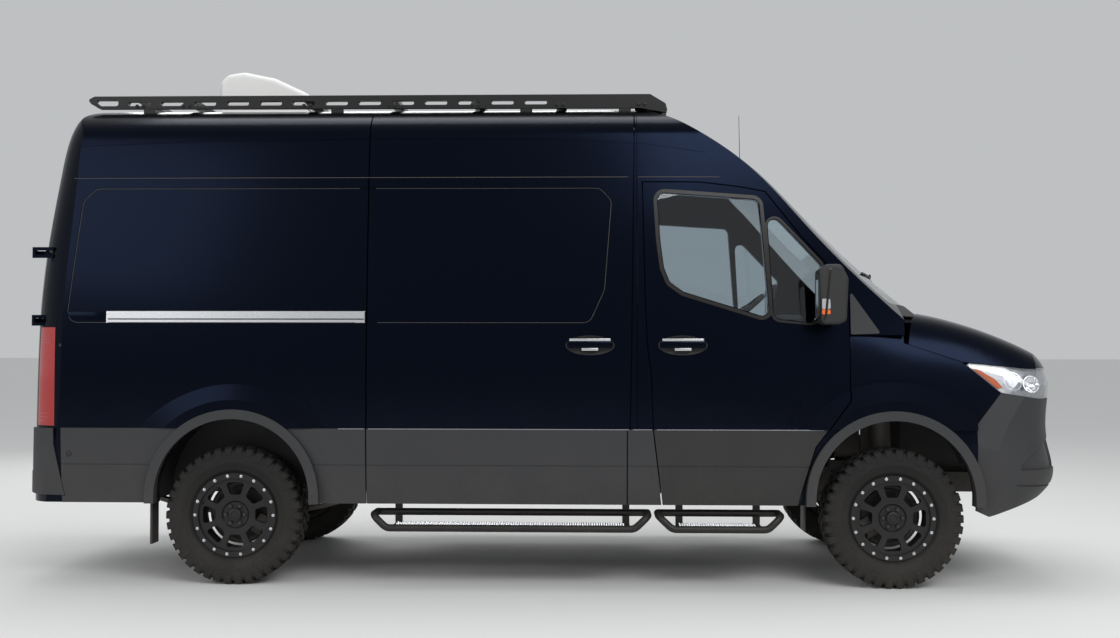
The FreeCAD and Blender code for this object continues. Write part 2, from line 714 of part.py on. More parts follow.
def screen_hole(gap):
    """Region of the windscreen opening, seen from in front."""
    points = ((-screen_half_y - gap, screen_low_z - gap), (screen_half_y + gap, screen_low_z - gap),
              (screen_half_top_y + gap, 2360.0 + gap), (-screen_half_top_y - gap, 2360.0 + gap))
    return prism_x(points, 1000.0, 2600.0, 70.0)


def windscreen(s):
    pane = s.tube.common(box(1000.0, 2400.0, -wide, wide, 1400.0, 2600.0)).common(top_volume(glass_set))
    return pane.cut(top_volume(glass_set + glass_thick * 1.4)).common(screen_hole(-window_gap))


def bonnet(s):
    panel = s.nose_shell.common(prism_y(bonnet_outline, -wide, wide))
    edge = bonnet_edge(0.0)
    return panel.cut(edge)


edge_side_x = 2005.0
edge_middle_x = 2232.0
edge_back_x = 1500.0
edge_half_y = 960.0
edge_z = 1200.0
edge_height = 800.0


def bonnet_edge(gap):
    """Cutter behind the bonnet's bowed rear edge."""
    right, middle, left = (v(x + gap, y, edge_z) for x, y in
                           ((edge_side_x, -edge_half_y), (edge_middle_x, 0.0), (edge_side_x, edge_half_y)))
    back_left, back_right = v(edge_back_x, edge_half_y, edge_z), v(edge_back_x, -edge_half_y, edge_z)
    wire = Part.Wire([Part.Arc(right, middle, left).toShape(), line(left, back_left), line(back_left, back_right),
                      line(back_right, right)])
    return Part.Face(wire).extrude(v(0, 0, edge_height))


def wings(s):
    wing = s.nose_shell.common(side_slab(wing_outline, 0.0, 0.0, 1)).common(
        box(1350.0, 2700.0, 500.0, wide, 0.0, 2000.0))
    wing = wing.cut(arch_cutter(front_axle_x, 1))
    swell = bulge(front_axle_x, 1).common(side_slab(wing_outline, 0.0, 0.0, 1))
    wing = wing.fuse(swell).cut(side_slab(door_outline, shut_gap, 0.0, 1)).removeSplitter()
    return both_sides(wing)


def headlamps(s):
    lamp = s.nose_shell.common(side_slab(grown(lamp_outline, -1.5), 0.0, 10.0, 1)).common(
        box(2200.0, far_x, grille_half_y - 1.0, wide, 0.0, 2000.0))
    return both_sides(lamp)


fog_outline = ((2595.0, 654.0), (2700.0, 742.0), (2885.0, 850.0), (3200.0, 850.0), (3200.0, 648.0))
fog_inner_y = 600.0
fog_depth = 20.0
vent_outline = ((-420.0, 600.0), (420.0, 600.0), (470.0, 720.0), (-470.0, 720.0))
vent_radius = 20.0
lip_outline = ((2600.0, 566.0), (3200.0, 540.0), (3200.0, 552.0), (2600.0, 578.0))
lip_depth = 6.0


def front_bumper(s):
    """Grey bumper with the grille's mouth, the low vent, fog pockets and a crease below them."""
    bumper = s.nose_shell.common(prism_y(bumper_outline, -wide, wide))
    bumper = bumper.cut(prism_x(grille_outline, 2300.0, far_x, grille_radius))
    bumper = bumper.cut(arch_cutter(front_axle_x, 1)).cut(arch_cutter(front_axle_x, -1))
    keep = box(2300.0, far_x, -wide, wide, 300.0, 1300.0)
    pocket = prism_y(fog_outline, fog_inner_y, wide, 16.0).cut(nose_volume(fog_depth)).cut(
        box(0.0, far_x, 0.0, wide, 0.0, roof_z).cut(body_tube(-fog_depth)))
    crease = prism_y(lip_outline, -wide, wide).cut(nose_volume(lip_depth).common(body_tube(lip_depth)))
    bumper = bumper.common(keep).cut(prism_x(vent_outline, 2800.0, far_x, vent_radius)).cut(crease)
    return bumper.cut(pocket).cut(mirror(pocket))


grille_outline = ((-520.0, 905.0), (520.0, 905.0), (585.0, 1043.0), (585.0, 1204.0), (-585.0, 1204.0),
                  (-585.0, 1043.0))
grille_radius = 30.0
grille_border = 46.0
grille_bar = 20.0
grille_bar_count = 4


def grille(s):
    """Surround with level bars."""
    plate = prism_x(grown(grille_outline, -1.3), 2600.0, far_x, grille_radius).common(
        box(2600.0, far_x, -wide, wide, 0.0, grille_top_z))
    front = nose_volume(14.0).cut(nose_volume(33.7)).common(plate)
    mouth = prism_x(grown(grille_outline, -grille_border), 2600.0, far_x, grille_radius)
    low, top = grille_low_z + grille_border, grille_top_z - grille_border
    pitch = (top - low) / (grille_bar_count + 1)
    for i in range(grille_bar_count):
        z = low + pitch * (i + 1) - grille_bar / 2
        mouth = mouth.cut(box(2600.0, far_x, -wide, wide, z, z + grille_bar))
    return front.cut(mouth)


radiator_x = (2640.0, 3000.0)
radiator_half_y = 560.0
radiator_top_z = 1400.0
radiator_under_bonnet = 6.0
radiator_step_x = 2760.0
radiator_step_z = (1150.0, 1500.0)


def radiator():
    """Plain block behind the grille that also carries the bonnet's front edge."""
    block = box(*radiator_x, -radiator_half_y, radiator_half_y, deck_low_z, radiator_top_z)
    block = block.common(nose_volume(nose_wall + fit_gap)).common(bonnet_volume(nose_wall + radiator_under_bonnet))
    return block.cut(box(radiator_x[0], radiator_step_x, -wide, wide, *radiator_step_z))


def cladding_ring(low, top):
    """Skin proud of the body between two heights, with its moulded line."""
    keep = box(-far_x, 2400.0, -wide, wide, low, top)
    line_box = box(-far_x, 2400.0, -wide, wide, clad_groove_z, clad_groove_z + line_width)
    ring = body_tube(-clad_proud).common(keep).cut(body_tube(0.0))
    return ring.cut(line_box.cut(body_tube(line_depth - clad_proud)))


def clad_side(s, side, x0, x1):
    ring = s.clad.common(box(x0, x1, 0.0, wide, 0.0, far_z) if side > 0
                         else box(x0, x1, -wide, 0.0, 0.0, far_z))
    return ring


def flare(x, side):
    ring = cylinder_y(x, arch_z, arch_radius + flare_width, half_width - 44.0, half_width + flare_proud)
    ring = ring.fuse(box(x - arch_radius - flare_width, x + arch_radius + flare_width, half_width - 44.0,
                         half_width + flare_proud, sill_z, arch_z))
    ring = ring.cut(arch_cutter(x, 1)).common(box(x - wide, x + wide, 0.0, wide, sill_z, far_z))
    return mirror(ring) if side < 0 else ring


smallest_piece = 2000.0


def body_cladding(s):
    """Grey lower skins of the body sides and the sliding door, and the arch flares."""
    pieces = []
    for side in (-1, 1):
        ring = clad_side(s, side, -2700.0, 700.0)
        ring = ring.cut(side_slab(grown(rear_bumper_outline, seam_gap), 0.0, 0.0, side))
        ring = ring.cut(side_slab(door_outline, shut_gap, 0.0, side))
        if side < 0:
            for gap_x in (slide_rear_x, slide_front_x - 16.0):
                ring = ring.cut(box(gap_x - shut_gap, gap_x, -wide, 0.0, 0.0, far_z))
        flare_block = flare(rear_axle_x, side)
        skin_in = s.tube.common(box(-far_x, 2700.0, -wide, wide, 0.0, 2000.0))
        rear_flare = flare_block.cut(skin_in).cut(bulge(rear_axle_x, side))
        ring = ring.cut(flare_ring_cut(rear_axle_x, side)).cut(arch_cutter(rear_axle_x, side))
        pieces += ring.Solids + rear_flare.Solids
        front_flare = flare(front_axle_x, side).cut(skin_in).cut(bulge(front_axle_x, side))
        front_flare = front_flare.cut(side_slab(door_outline, shut_gap, 0.0, side))
        pieces += front_flare.Solids
        pieces += mirror_sail(side).Solids
    pieces += door_handle(slide_handle_x, -1).Solids + cowl(s).Solids
    return Part.makeCompound([piece for piece in pieces if piece.Volume > smallest_piece])


def flare_ring_cut(x, side):
    cut = arch_cutter(x, 1, arch_radius + flare_width + fit_gap)
    return mirror(cut) if side < 0 else cut


handle_z = 1338.0
handle_reach = 42.0
handle_height = 26.0
handle_bar = 16.0
handle_foot = 30.0
handle_radius = 9.0
front_handle_x = 770.0
slide_handle_x = 258.0
handle_length = 253.0


def door_handle(middle_x, side):
    """Bowed grip on two feet."""
    skin = side_y(middle_x, handle_z)
    x0, x1 = middle_x - handle_length / 2, middle_x + handle_length / 2
    out = skin + handle_reach
    bow = handle_reach / 3
    grip = prism_z(((x0, skin - bow), (x0, out - bow), (x0 + handle_foot, out), (x1 - handle_foot, out),
                    (x1, out - bow), (x1, skin - bow)), handle_z - handle_height / 2,
                   handle_z + handle_height / 2, handle_radius)
    room = prism_z(((x0 + handle_foot, skin - bow), (x0 + handle_foot, out - handle_bar),
                    (x1 - handle_foot, out - handle_bar), (x1 - handle_foot, skin - bow)),
                   handle_z - handle_height, handle_z + handle_height, handle_radius)
    grip = grip.cut(room)
    grip = mirror(grip) if side < 0 else grip
    return grip.cut(body_tube(-fit_gap))


mirror_outline = ((1500.0, 1462.0), (1488.0, 1740.0), (1530.0, 1777.0), (1612.0, 1777.0), (1650.0, 1700.0),
                  (1640.0, 1470.0), (1600.0, 1450.0), (1520.0, 1450.0))
mirror_inner_y = 1040.0
mirror_outer_y = 1180.0
mirror_radius = 28.0
mirror_edge_radius = 18.0
arm_rear_x = 1540.0
arm_front_x = 1612.0
arm_low_z = 1484.0
arm_top_z = 1536.0
sail_outline = ((1701.5, 1644.0), (1868.0, 1406.0), (1701.5, 1400.0))
sail_proud = 5.0
sail_radius = 8.0


def door_mirror(side):
    """Rounded housing on an arm from the door."""
    housing = prism_y(mirror_outline, mirror_inner_y, mirror_outer_y, mirror_radius)
    rims = [edge for edge in housing.Edges if edge.BoundBox.YLength < fit_gap]
    housing = housing.makeFillet(mirror_edge_radius, rims)
    skin = side_y(arm_front_x, arm_top_z)
    arm = box(arm_rear_x, arm_front_x, skin - wall, mirror_inner_y + mirror_edge_radius, arm_low_z, arm_top_z)
    piece = housing.fuse(arm).removeSplitter()
    piece = mirror(piece) if side < 0 else piece
    return piece.cut(body_tube(-fit_gap))


def mirror_sail(side):
    """Flat trim ahead of the door, at the windscreen pillar's foot."""
    return side_slab(sail_outline, 0.0, sail_radius, side).common(body_tube(-sail_proud)).cut(body_tube(-fit_gap))


def door_trim(s, side):
    """Grey lower skin of a front door, its handle and its mirror."""
    ring = clad_side(s, side, 500.0, 1693.0).common(side_slab(door_outline, 0.0, 0.0, side))
    ring = ring.cut(flare_ring_cut(front_axle_x, side))
    return Part.makeCompound(ring.Solids + door_handle(front_handle_x, side).Solids + door_mirror(side).Solids)


rear_bumper_z = (400.0, 1000.0)
rear_bumper_proud = 16.0
rear_bumper_inset = 40.0
rear_bumper_depth = 36.0
rear_bumper_mouth_y = 907.0
rear_bumper_mouth_z = 622.0


def rear_bumper(s):
    outer = body_tube(-clad_proud).common(box(-far_x, rear_cut_x, -wide, wide, *rear_bumper_z)).common(
        rear_volume(-rear_bumper_proud))
    inner = body_tube(rear_bumper_inset).common(rear_volume(rear_bumper_depth))
    bumper = outer.cut(inner).common(prism_y(rear_bumper_outline, -wide, wide))
    return bumper.cut(box(-far_x, rear_cut_x, -rear_bumper_mouth_y, rear_bumper_mouth_y, rear_bumper_mouth_z,
                          rear_bumper_z[1]))


# Under the body

rail_low_z = 480.0
deck_low_z = 596.0
deck_top_z = 636.0
deck_gap = 8.0
deck_rear_x = -2870.0
board_thick = 9.0
board_rear_x = -2740.0
board_front_x = 480.0
board_half_y = 545.0
firewall_x = 1640.0
firewall_half_y = 530.0
firewall_top_z = 1180.0
firewall_thick = 20.0
rail_inner_y = 350.0
rail_outer_y = 425.0
cross_places = (-2850.0, -1000.0, 200.0, 1300.0, 2490.0)
cross_width = 70.0
cross_low_z = 500.0
cross_top_z = 580.0
rail_rear_x = -2850.0
rail_front_x = 2560.0
rear_hole_spare = 8.0
rear_hole_inner_y = 552.0
front_hole_spare = 15.0
front_hole_end_x = 2400.0
hole_low_z = 300.0
hole_top_z = 1100.0


def floor_and_frame(s):
    """Deck with its load floor board, firewall, chassis rails and cross members."""
    cab_deck = body_tube(wall + deck_gap).common(
        box(pillar_x, firewall_x, -wide, wide, deck_low_z, deck_top_z))
    deck = body_tube(wall + fit_gap).common(box(deck_rear_x, pillar_x, -wide, wide, deck_low_z, deck_top_z))
    deck = deck.common(rear_volume(wall + flange_thick + 2.0)).fuse(cab_deck)
    rear_reach, front_reach = liner_radius + rear_hole_spare, liner_radius + front_hole_spare
    rear_hole = box(rear_axle_x - rear_reach, rear_axle_x + rear_reach, rear_hole_inner_y, wide, hole_low_z,
                    hole_top_z)
    front_hole = box(front_axle_x - front_reach, front_hole_end_x, firewall_half_y, wide, hole_low_z, hole_top_z)
    for hole in (rear_hole, front_hole):
        deck = deck.cut(hole).cut(mirror(hole))
    board = box(board_rear_x, board_front_x, -board_half_y, board_half_y, deck_top_z, deck_top_z + board_thick)
    rail = box(rail_rear_x, rail_front_x, rail_inner_y, rail_outer_y, rail_low_z, deck_low_z)
    cross = [box(x, x + cross_width, -rail_inner_y, rail_inner_y, cross_low_z, cross_top_z) for x in cross_places]
    firewall = box(firewall_x, firewall_x + firewall_thick, -firewall_half_y, firewall_half_y, deck_low_z,
                   firewall_top_z - fit_gap)
    return fuse([deck, board, rail, mirror(rail), firewall] + cross).removeSplitter()


liner_door_x = 1720.0
liner_low_y = 908.0
liner_deck_z = 640.0
liner_nose_x = 2370.0
liner_side_y = (560.0, 660.0)
liner_drop = 30.0
liner_disc_low_z = 520.0
flap_y = (800.0, 944.0)
rear_flap = (-2224.0, -2211.0, *flap_y, 215.0, 590.0)
front_flap = (1443.0, 1454.0, *flap_y, 309.0, 520.0)


def liner_room(x):
    """Where a liner may lie, behind the skins and the door's seat."""
    inset = wall + flange_thick + 2.0 if x > 0 else wall + fit_gap
    low = box(-far_x, liner_door_x, -liner_low_y, liner_low_y, 0.0, liner_deck_z)
    room = body_tube(inset).common(box(-far_x, liner_door_x, -wide, wide, liner_deck_z, skirt_cut_z)).fuse(low)
    if x > 0:
        nose = body_tube(nose_wall + fit_gap).common(box(liner_door_x, liner_nose_x, -wide, wide, 0.0, skirt_cut_z))
        room = room.fuse(nose.common(nose_volume(nose_wall + fit_gap)))
    return room


def arch_liners(s):
    pieces = []
    for x, inner_y in zip((rear_axle_x, front_axle_x), liner_side_y):
        ring = cylinder_y(x, arch_z, liner_radius + liner_thick, inner_y, half_width)
        ring = ring.cut(cylinder_y(x, arch_z, liner_radius, inner_y - 1.0, half_width + 1.0))
        ring = ring.common(box(x - wide, x + wide, 0.0, wide, arch_z - liner_drop, skirt_cut_z))
        flap = box(*(rear_flap if x < 0 else front_flap))
        ring = ring.fuse(flap).common(liner_room(x))
        if x < 0:
            wall_disc = cylinder_y(x, arch_z, liner_radius + liner_thick, inner_y - liner_thick, inner_y)
            ring = ring.fuse(wall_disc.common(box(x - wide, x + wide, 0.0, wide, liner_disc_low_z, skirt_cut_z)))
        pieces.append(ring)
    return Part.makeCompound([m for piece in pieces for m in both_sides(piece).Solids])


axle_tube_radius = 46.0
axle_tube_half = 700.0
axle_hub_out_y = 745.0
axle_hub_radius = 70.0
differential_radius = 150.0
spindle_past_track = 44.0


def rear_axle():
    z, x = tyre_radius, rear_axle_x
    beam = cylinder_y(x, z, axle_tube_radius, -axle_tube_half, axle_tube_half)
    ball = Part.makeSphere(differential_radius, v(x, 0.0, z))
    hubs = cylinder_y(x, z, axle_hub_radius, axle_tube_half, axle_hub_out_y)
    spindle = cylinder_y(x, z, spindle_radius, axle_hub_out_y, track_half + spindle_past_track)
    leaf = leaf_spring(x)
    pieces = [beam, ball, hubs, mirror(hubs), spindle, mirror(spindle), leaf, mirror(leaf)]
    return fuse(pieces).removeSplitter()


leaf_half = 700.0
leaf_end_z = 470.0
leaf_mid_z = 330.0
leaf_thick = 24.0
leaf_inner_y = 470.0
leaf_width = 70.0
leaf_clamp_half = 60.0
leaf_clamp_low_z = 335.0
leaf_clamp_top_z = 350.0
shackle_inset = 10.0
shackle_half = 30.0
shackle_low_z = 472.0
shackle_top_z = 560.0


def leaf_spring(x):
    """Bowed leaf pack clamped on the axle."""
    a, mid, b = (v(x + reach, leaf_inner_y, z)
                 for reach, z in ((-leaf_half, leaf_end_z), (0.0, leaf_mid_z), (leaf_half, leaf_end_z)))
    lift = v(0, 0, leaf_thick)
    wire = Part.Wire([Part.Arc(a, mid, b).toShape(), line(b, b + lift),
                      Part.Arc(b + lift, mid + lift, a + lift).toShape(), line(a + lift, a)])
    leaf = Part.Face(wire).extrude(v(0, leaf_width, 0))
    leaf_outer_y = leaf_inner_y + leaf_width
    clamp = box(x - leaf_clamp_half, x + leaf_clamp_half, leaf_inner_y, leaf_outer_y, leaf_clamp_low_z,
                leaf_clamp_top_z)
    shackles = [box(end - shackle_half, end + shackle_half, rail_outer_y + fit_gap, leaf_outer_y, shackle_low_z,
                    shackle_top_z) for end in (x - leaf_half + shackle_inset, x + leaf_half - shackle_inset)]
    return fuse([leaf, clamp] + shackles)


subframe_half_x = 90.0
subframe_half_y = 330.0
subframe_z = (300.0, 400.0)
arm_root_half_x = 110.0
arm_tip_half_x = 26.0
arm_root_y = 300.0
arm_tip_past_pin = 24.0
arm_corner = 12.0
arm_drop = (-182.0, -152.0)
kingpin_radius = 14.0
pin_bores = ((-200.0, -100.0), (100.0, 300.0))
link_half_x = 80.0
link_y = (290.0, 330.0)
strut_foot_half_x = 24.0
strut_foot_y = 600.0
strut_foot_rise = (152.0, 182.0)
strut_radius = 30.0
strut_low = (630.0, 160.0)
strut_top = (560.0, 1000.0)
spring_radius = 62.0
spring_low = (603.0, 700.0)
spring_top = (565.0, 950.0)
tower_half_x = 80.0
tower_cap_y = (430.0, 640.0)
tower_cap_z = (1000.0, 1016.0)
tower_outer_y = 440.0
tower_low_z = 590.0
rail_link_half_x = 70.0
rail_link_y = (300.0, 350.0)
rail_link_z = (400.0, 480.0)


def front_suspension():
    x, z = front_axle_x, tyre_radius
    beam = box(x - subframe_half_x, x + subframe_half_x, -subframe_half_y, subframe_half_y, *subframe_z)
    side = suspension_side(x, z)
    link = box(x - rail_link_half_x, x + rail_link_half_x, *rail_link_y, *rail_link_z)
    return fuse([beam, side, mirror(side), link, mirror(link)]).removeSplitter()


def suspension_side(x, z):
    """Lower arm, strut with its spring and tower, and bored lugs for the steering pin."""
    tip_y = kingpin_y + arm_tip_past_pin
    arm = prism_z(((x - arm_root_half_x, arm_root_y), (x + arm_root_half_x, arm_root_y),
                   (x + arm_tip_half_x, tip_y), (x - arm_tip_half_x, tip_y)),
                  z + arm_drop[0], z + arm_drop[1], arm_corner)
    link = box(x - link_half_x, x + link_half_x, *link_y, z + arm_drop[0], subframe_z[1])
    foot = box(x - strut_foot_half_x, x + strut_foot_half_x, strut_foot_y, tip_y,
               z + strut_foot_rise[0], z + strut_foot_rise[1])
    strut = rod(v(x, strut_low[0], z + strut_low[1]), v(x, *strut_top), strut_radius)
    spring = rod(v(x, *spring_low), v(x, *spring_top), spring_radius)
    cap = box(x - tower_half_x, x + tower_half_x, *tower_cap_y, *tower_cap_z)
    tower = box(x - tower_half_x, x + tower_half_x, rail_outer_y + fit_gap, tower_outer_y, tower_low_z,
                tower_cap_z[1])
    bores = [cylinder_z(x, kingpin_y, kingpin_radius + running_gap, z + low, z + top) for low, top in pin_bores]
    return fuse([arm, link, foot, strut, spring, cap, tower]).cut(bores[0]).cut(bores[1])


pin_reach = 180.0
upright_half_x = 46.0
upright_y = (-18.0, 20.0)
upright_half_z = 147.0
boss_radius = 60.0
boss_out = 32.0
steer_arm_x = (-150.0, -40.0)
steer_arm_out = 6.0
steer_arm_z = (-80.0, -50.0)


def knuckle(side):
    x, z = front_axle_x, tyre_radius
    low_y, high_y = kingpin_y + upright_y[0], kingpin_y + upright_y[1]
    upright = box(x - upright_half_x, x + upright_half_x, low_y, high_y, z - upright_half_z, z + upright_half_z)
    pins = cylinder_z(x, kingpin_y, kingpin_radius, z - pin_reach, z + pin_reach)
    spindle = cylinder_y(x, z, spindle_radius, kingpin_y, track_half + spindle_past_track)
    boss = cylinder_y(x, z, boss_radius, high_y, kingpin_y + boss_out)
    arm = box(x + steer_arm_x[0], x + steer_arm_x[1], low_y, kingpin_y + steer_arm_out,
              z + steer_arm_z[0], z + steer_arm_z[1])
    piece = fuse([upright, pins, spindle, boss, arm]).removeSplitter()
    return mirror(piece) if side < 0 else piece


engine_x = (2100.0, 2620.0)
engine_half_y = 360.0
engine_top_z = 1150.0


def engine_block():
    return box(*engine_x, -engine_half_y, engine_half_y, deck_low_z + fit_gap, engine_top_z)


tank_x = (-700.0, 300.0)
tank_y = (440.0, 800.0)
tank_low_z = 380.0
tank_radius = 40.0
pipe_y = -250.0
pipe_z = 468.0
pipe_radius = 26.0
pipe_x = (1300.0, -2500.0)
hanger_places = (-985.0, 215.0)
hanger_length = 30.0
hanger_half_y = 12.0
silencer_x = (-600.0, 100.0)
silencer_y = (-340.0, -160.0)
silencer_z = (400.0, 496.0)
silencer_radius = 30.0


def underbody():
    """Tank under the deck, and the exhaust hung from two cross members."""
    tank_top_z = deck_low_z - fit_gap
    tank = prism_y(((tank_x[0], tank_low_z), (tank_x[1], tank_low_z), (tank_x[1], tank_top_z),
                    (tank_x[0], tank_top_z)), *tank_y, tank_radius)
    hangers = [box(x, x + hanger_length, pipe_y - hanger_half_y, pipe_y + hanger_half_y, pipe_z,
                   cross_low_z - fit_gap) for x in hanger_places]
    pipe = rod(v(pipe_x[0], pipe_y, pipe_z), v(pipe_x[1], pipe_y, pipe_z), pipe_radius)
    corners = tuple((y, z) for z in silencer_z for y in silencer_y)
    silencer = prism_x((corners[0], corners[1], corners[3], corners[2]), *silencer_x, silencer_radius)
    return Part.makeCompound([tank, fuse([pipe, silencer] + hangers).removeSplitter()])


# Wheels

lug_pairs = 18
lug_depth = 15.0
rib_half_width = 34.0
bead_height = 24.0


def tyre_profiles():
    """Half outlines of the tyre, from the bead to the centre rib, through a lug and between two lugs."""
    w, r = tyre_width / 2, tyre_radius
    seat = bead_radius + fit_gap
    bead_y = rim_half_width - 12.5
    side_wall = ((bead_y, seat), (bead_y, seat + bead_height), (w - 2.0, flange_radius + 56.0), (w - 3.0, r - 42.0))
    lug = side_wall + ((w - 16.0, r - 3.0), (rib_half_width, r))
    gap = side_wall + ((w - 30.0, r - lug_depth), (rib_half_width, r - lug_depth), (rib_half_width, r))
    inner = ((w - 20.0, r - 50.0), (bead_y - 14.0, seat))
    return lug, gap, inner


def tyre():
    """Flat-sided tyre whose shoulder lugs alternate from side to side of a centre rib."""
    lug, gap, inner = tyre_profiles()
    sectors = 2 * lug_pairs
    turn = 2 * math.pi / sectors
    stretch = 1 / math.cos(turn / 2)

    def placed(i, point):
        angle = (i - 0.5) * turn
        reach = point[1] * stretch
        return v(reach * math.cos(angle), point[0], reach * math.sin(angle))

    def face(corners):
        return Part.Face(Part.makePolygon(corners + corners[:1]))

    def other(points):
        return tuple((-y, r) for y, r in points)

    faces = []
    for i in range(sectors):
        near, far = (lug, gap) if i % 2 else (gap, lug)
        loop = near + other(far)[::-1] + other(inner)[::-1] + inner
        for k in range(len(loop)):
            a, b = loop[k], loop[(k + 1) % len(loop)]
            faces.append(face([placed(i, a), placed(i, b), placed(i + 1, b), placed(i + 1, a)]))
        step = lug[3:] + gap[:3:-1][1:]
        for points in (step, other(step)):
            faces.append(face([placed(i, point) for point in points]))
    shell = Part.makeShell(faces)
    shell.sewShape()
    solid = Part.Solid(shell)
    if solid.Volume < 0:
        solid.reverse()
    return solid


def revolved(points):
    """(y, r) outline turned about the Y axis."""
    return outline([v(0, y, r) for y, r in points], 0.0).revolve(v(0, 0, 0), v(0, 1, 0), 360)


window_count = 8
window_inner_radius = 112.0
window_outer_radius = 182.0
disc_out_y = 70.0
disc_in_y = 46.0
window_inner_half = 30.0
window_outer_half = 54.0
window_corner = 16.0
rim_cut = 200.0
rim_hub_radius = 62.0
rim_hub_in_y = -66.0
brake_radius = 150.0
brake_y = (-62.0, -40.0)
cap_radius = 34.0
cap_proud = 14.0


def rim(x, y, side):
    h = rim_half_width
    barrel = revolved(((h, flange_radius), (h - 10.0, flange_radius), (h - 12.0, bead_radius),
                       (h - 50.0, bead_radius), (h - 66.0, bead_radius - 16.0), (40.0 - h, bead_radius - 16.0),
                       (26.0 - h, bead_radius), (12.0 - h, bead_radius), (10.0 - h, flange_radius),
                       (-h, flange_radius), (-h, flange_radius - 12.0), (5.0 - h, bead_radius - 9.0),
                       (22.0 - h, bead_radius - 9.0), (36.0 - h, bead_radius - 25.0),
                       (h - 70.0, bead_radius - 25.0), (h - 50.0, bead_radius - 11.0), (h, bead_radius - 11.0)))
    disc = revolved(((disc_in_y - 12.0, 0.0), (disc_out_y - 8.0, 0.0), (disc_out_y - 8.0, 70.0),
                     (disc_out_y, 78.0), (disc_out_y + 8.0, bead_radius - 10.0), (disc_in_y, bead_radius - 10.0),
                     (disc_in_y, 80.0), (disc_in_y - 12.0, 70.0)))
    for i in range(window_count):
        angle = 360.0 / window_count * i
        a, b = window_inner_radius, window_outer_radius
        hole = prism_y(((a, -window_inner_half), (b, -window_outer_half), (b, window_outer_half),
                        (a, window_inner_half)), 0.0, rim_cut, window_corner)
        hole.rotate(v(0, 0, 0), v(0, 1, 0), angle)
        disc = disc.cut(hole)
    hub = cylinder_y(0.0, 0.0, rim_hub_radius, rim_hub_in_y, disc_in_y)
    brake = cylinder_y(0.0, 0.0, brake_radius, *brake_y)
    cap = cylinder_y(0.0, 0.0, cap_radius, disc_in_y, disc_out_y + cap_proud)
    piece = fuse([barrel, disc, hub, brake, cap])
    piece = piece.cut(cylinder_y(0.0, 0.0, spindle_radius + running_gap, -rim_cut, disc_in_y))
    piece = piece.removeSplitter()
    if side < 0:
        piece = mirror(piece)
    piece.translate(v(x, y, tyre_radius))
    return piece


# Cab

wheel_centre = v(1230.0, 400.0, 1545.0)
wheel_tilt_deg = 40.0


ring_radius = 190.0
ring_thick = 16.0
hub_radius = 52.0
hub_height = 40.0
hub_drop = 30.0
spoke_low = -12.0
spoke_top = 4.0
shaft_radius = 14.0
shaft_length = 90.0
shaft_drop = 115.0


def steering_wheel():
    ring = Part.makeTorus(ring_radius, ring_thick)
    hub = Part.makeCylinder(hub_radius, hub_height, v(0, 0, -hub_drop))
    bars = [box(-ring_radius, ring_radius, -ring_thick, ring_thick, spoke_low, spoke_top),
            box(-ring_thick, ring_thick, -ring_radius, 0.0, spoke_low, spoke_top)]
    wheel = fuse([ring, hub] + bars)
    shaft = Part.makeCylinder(shaft_radius, shaft_length, v(0, 0, -shaft_drop))
    wheel = wheel.fuse(shaft).removeSplitter()
    wheel.rotate(v(0, 0, 0), v(0, 0, 1), -90)
    wheel.rotate(v(0, 0, 0), v(0, 1, 0), -wheel_tilt_deg)
    wheel.translate(wheel_centre)
    return wheel


shelf_outline = ((1400.0, 1180.0), (1360.0, 1330.0), (1420.0, 1450.0), (2000.0, 1500.0), (2000.0, 1180.0))
shelf_half_y = 860.0
shelf_radius = 50.0
shelf_inset = 14.0
column_start = 60.0
column_length = 330.0
column_radius = 40.0
column_bore_depth = 120.0


def dashboard(s):
    """Shelf across the cab with the steering column, bored for the wheel's shaft."""
    shelf = prism_y(shelf_outline, -shelf_half_y, shelf_half_y, shelf_radius)
    shelf = shelf.common(body_tube(wall + shelf_inset)).common(top_volume(wall * 2.0))
    tilt = math.radians(wheel_tilt_deg)
    axis = v(-math.sin(tilt), 0, math.cos(tilt))
    start = wheel_centre - axis * column_start
    bore = rod(wheel_centre, wheel_centre - axis * column_bore_depth, shaft_radius + running_gap)
    column = rod(start, start - axis * column_length, column_radius).cut(bore)
    return shelf.fuse(column).removeSplitter()


seat_places = (-430.0, 430.0)
seat_base = (610.0, 960.0, 210.0, 1000.0)
cushion_outline = ((560.0, 940.0), (1080.0, 960.0), (1085.0, 1080.0), (560.0, 1060.0))
back_outline = ((560.0, 1030.0), (690.0, 1060.0), (560.0, 1720.0), (450.0, 1720.0))
head_outline = ((440.0, 1740.0), (540.0, 1740.0), (520.0, 1920.0), (430.0, 1920.0))
seat_slabs = ((cushion_outline, 250.0, 40.0), (back_outline, 240.0, 45.0), (head_outline, 130.0, 35.0))
head_post = (470.0, 500.0, 60.0, 1700.0, 1760.0)


def seats():
    rear, front, half, top = seat_base
    post_rear, post_front, post_half, post_low, post_top = head_post
    pieces = []
    for y in seat_places:
        base = box(rear, front, y - half, y + half, deck_top_z + fit_gap, top)
        slabs = [prism_y(outline, y - reach, y + reach, radius) for outline, reach, radius in seat_slabs]
        post = box(post_rear, post_front, y - post_half, y + post_half, post_low, post_top)
        pieces.append(fuse([base, *slabs, post]).removeSplitter())
    return Part.makeCompound(pieces)


# On the roof and the sides

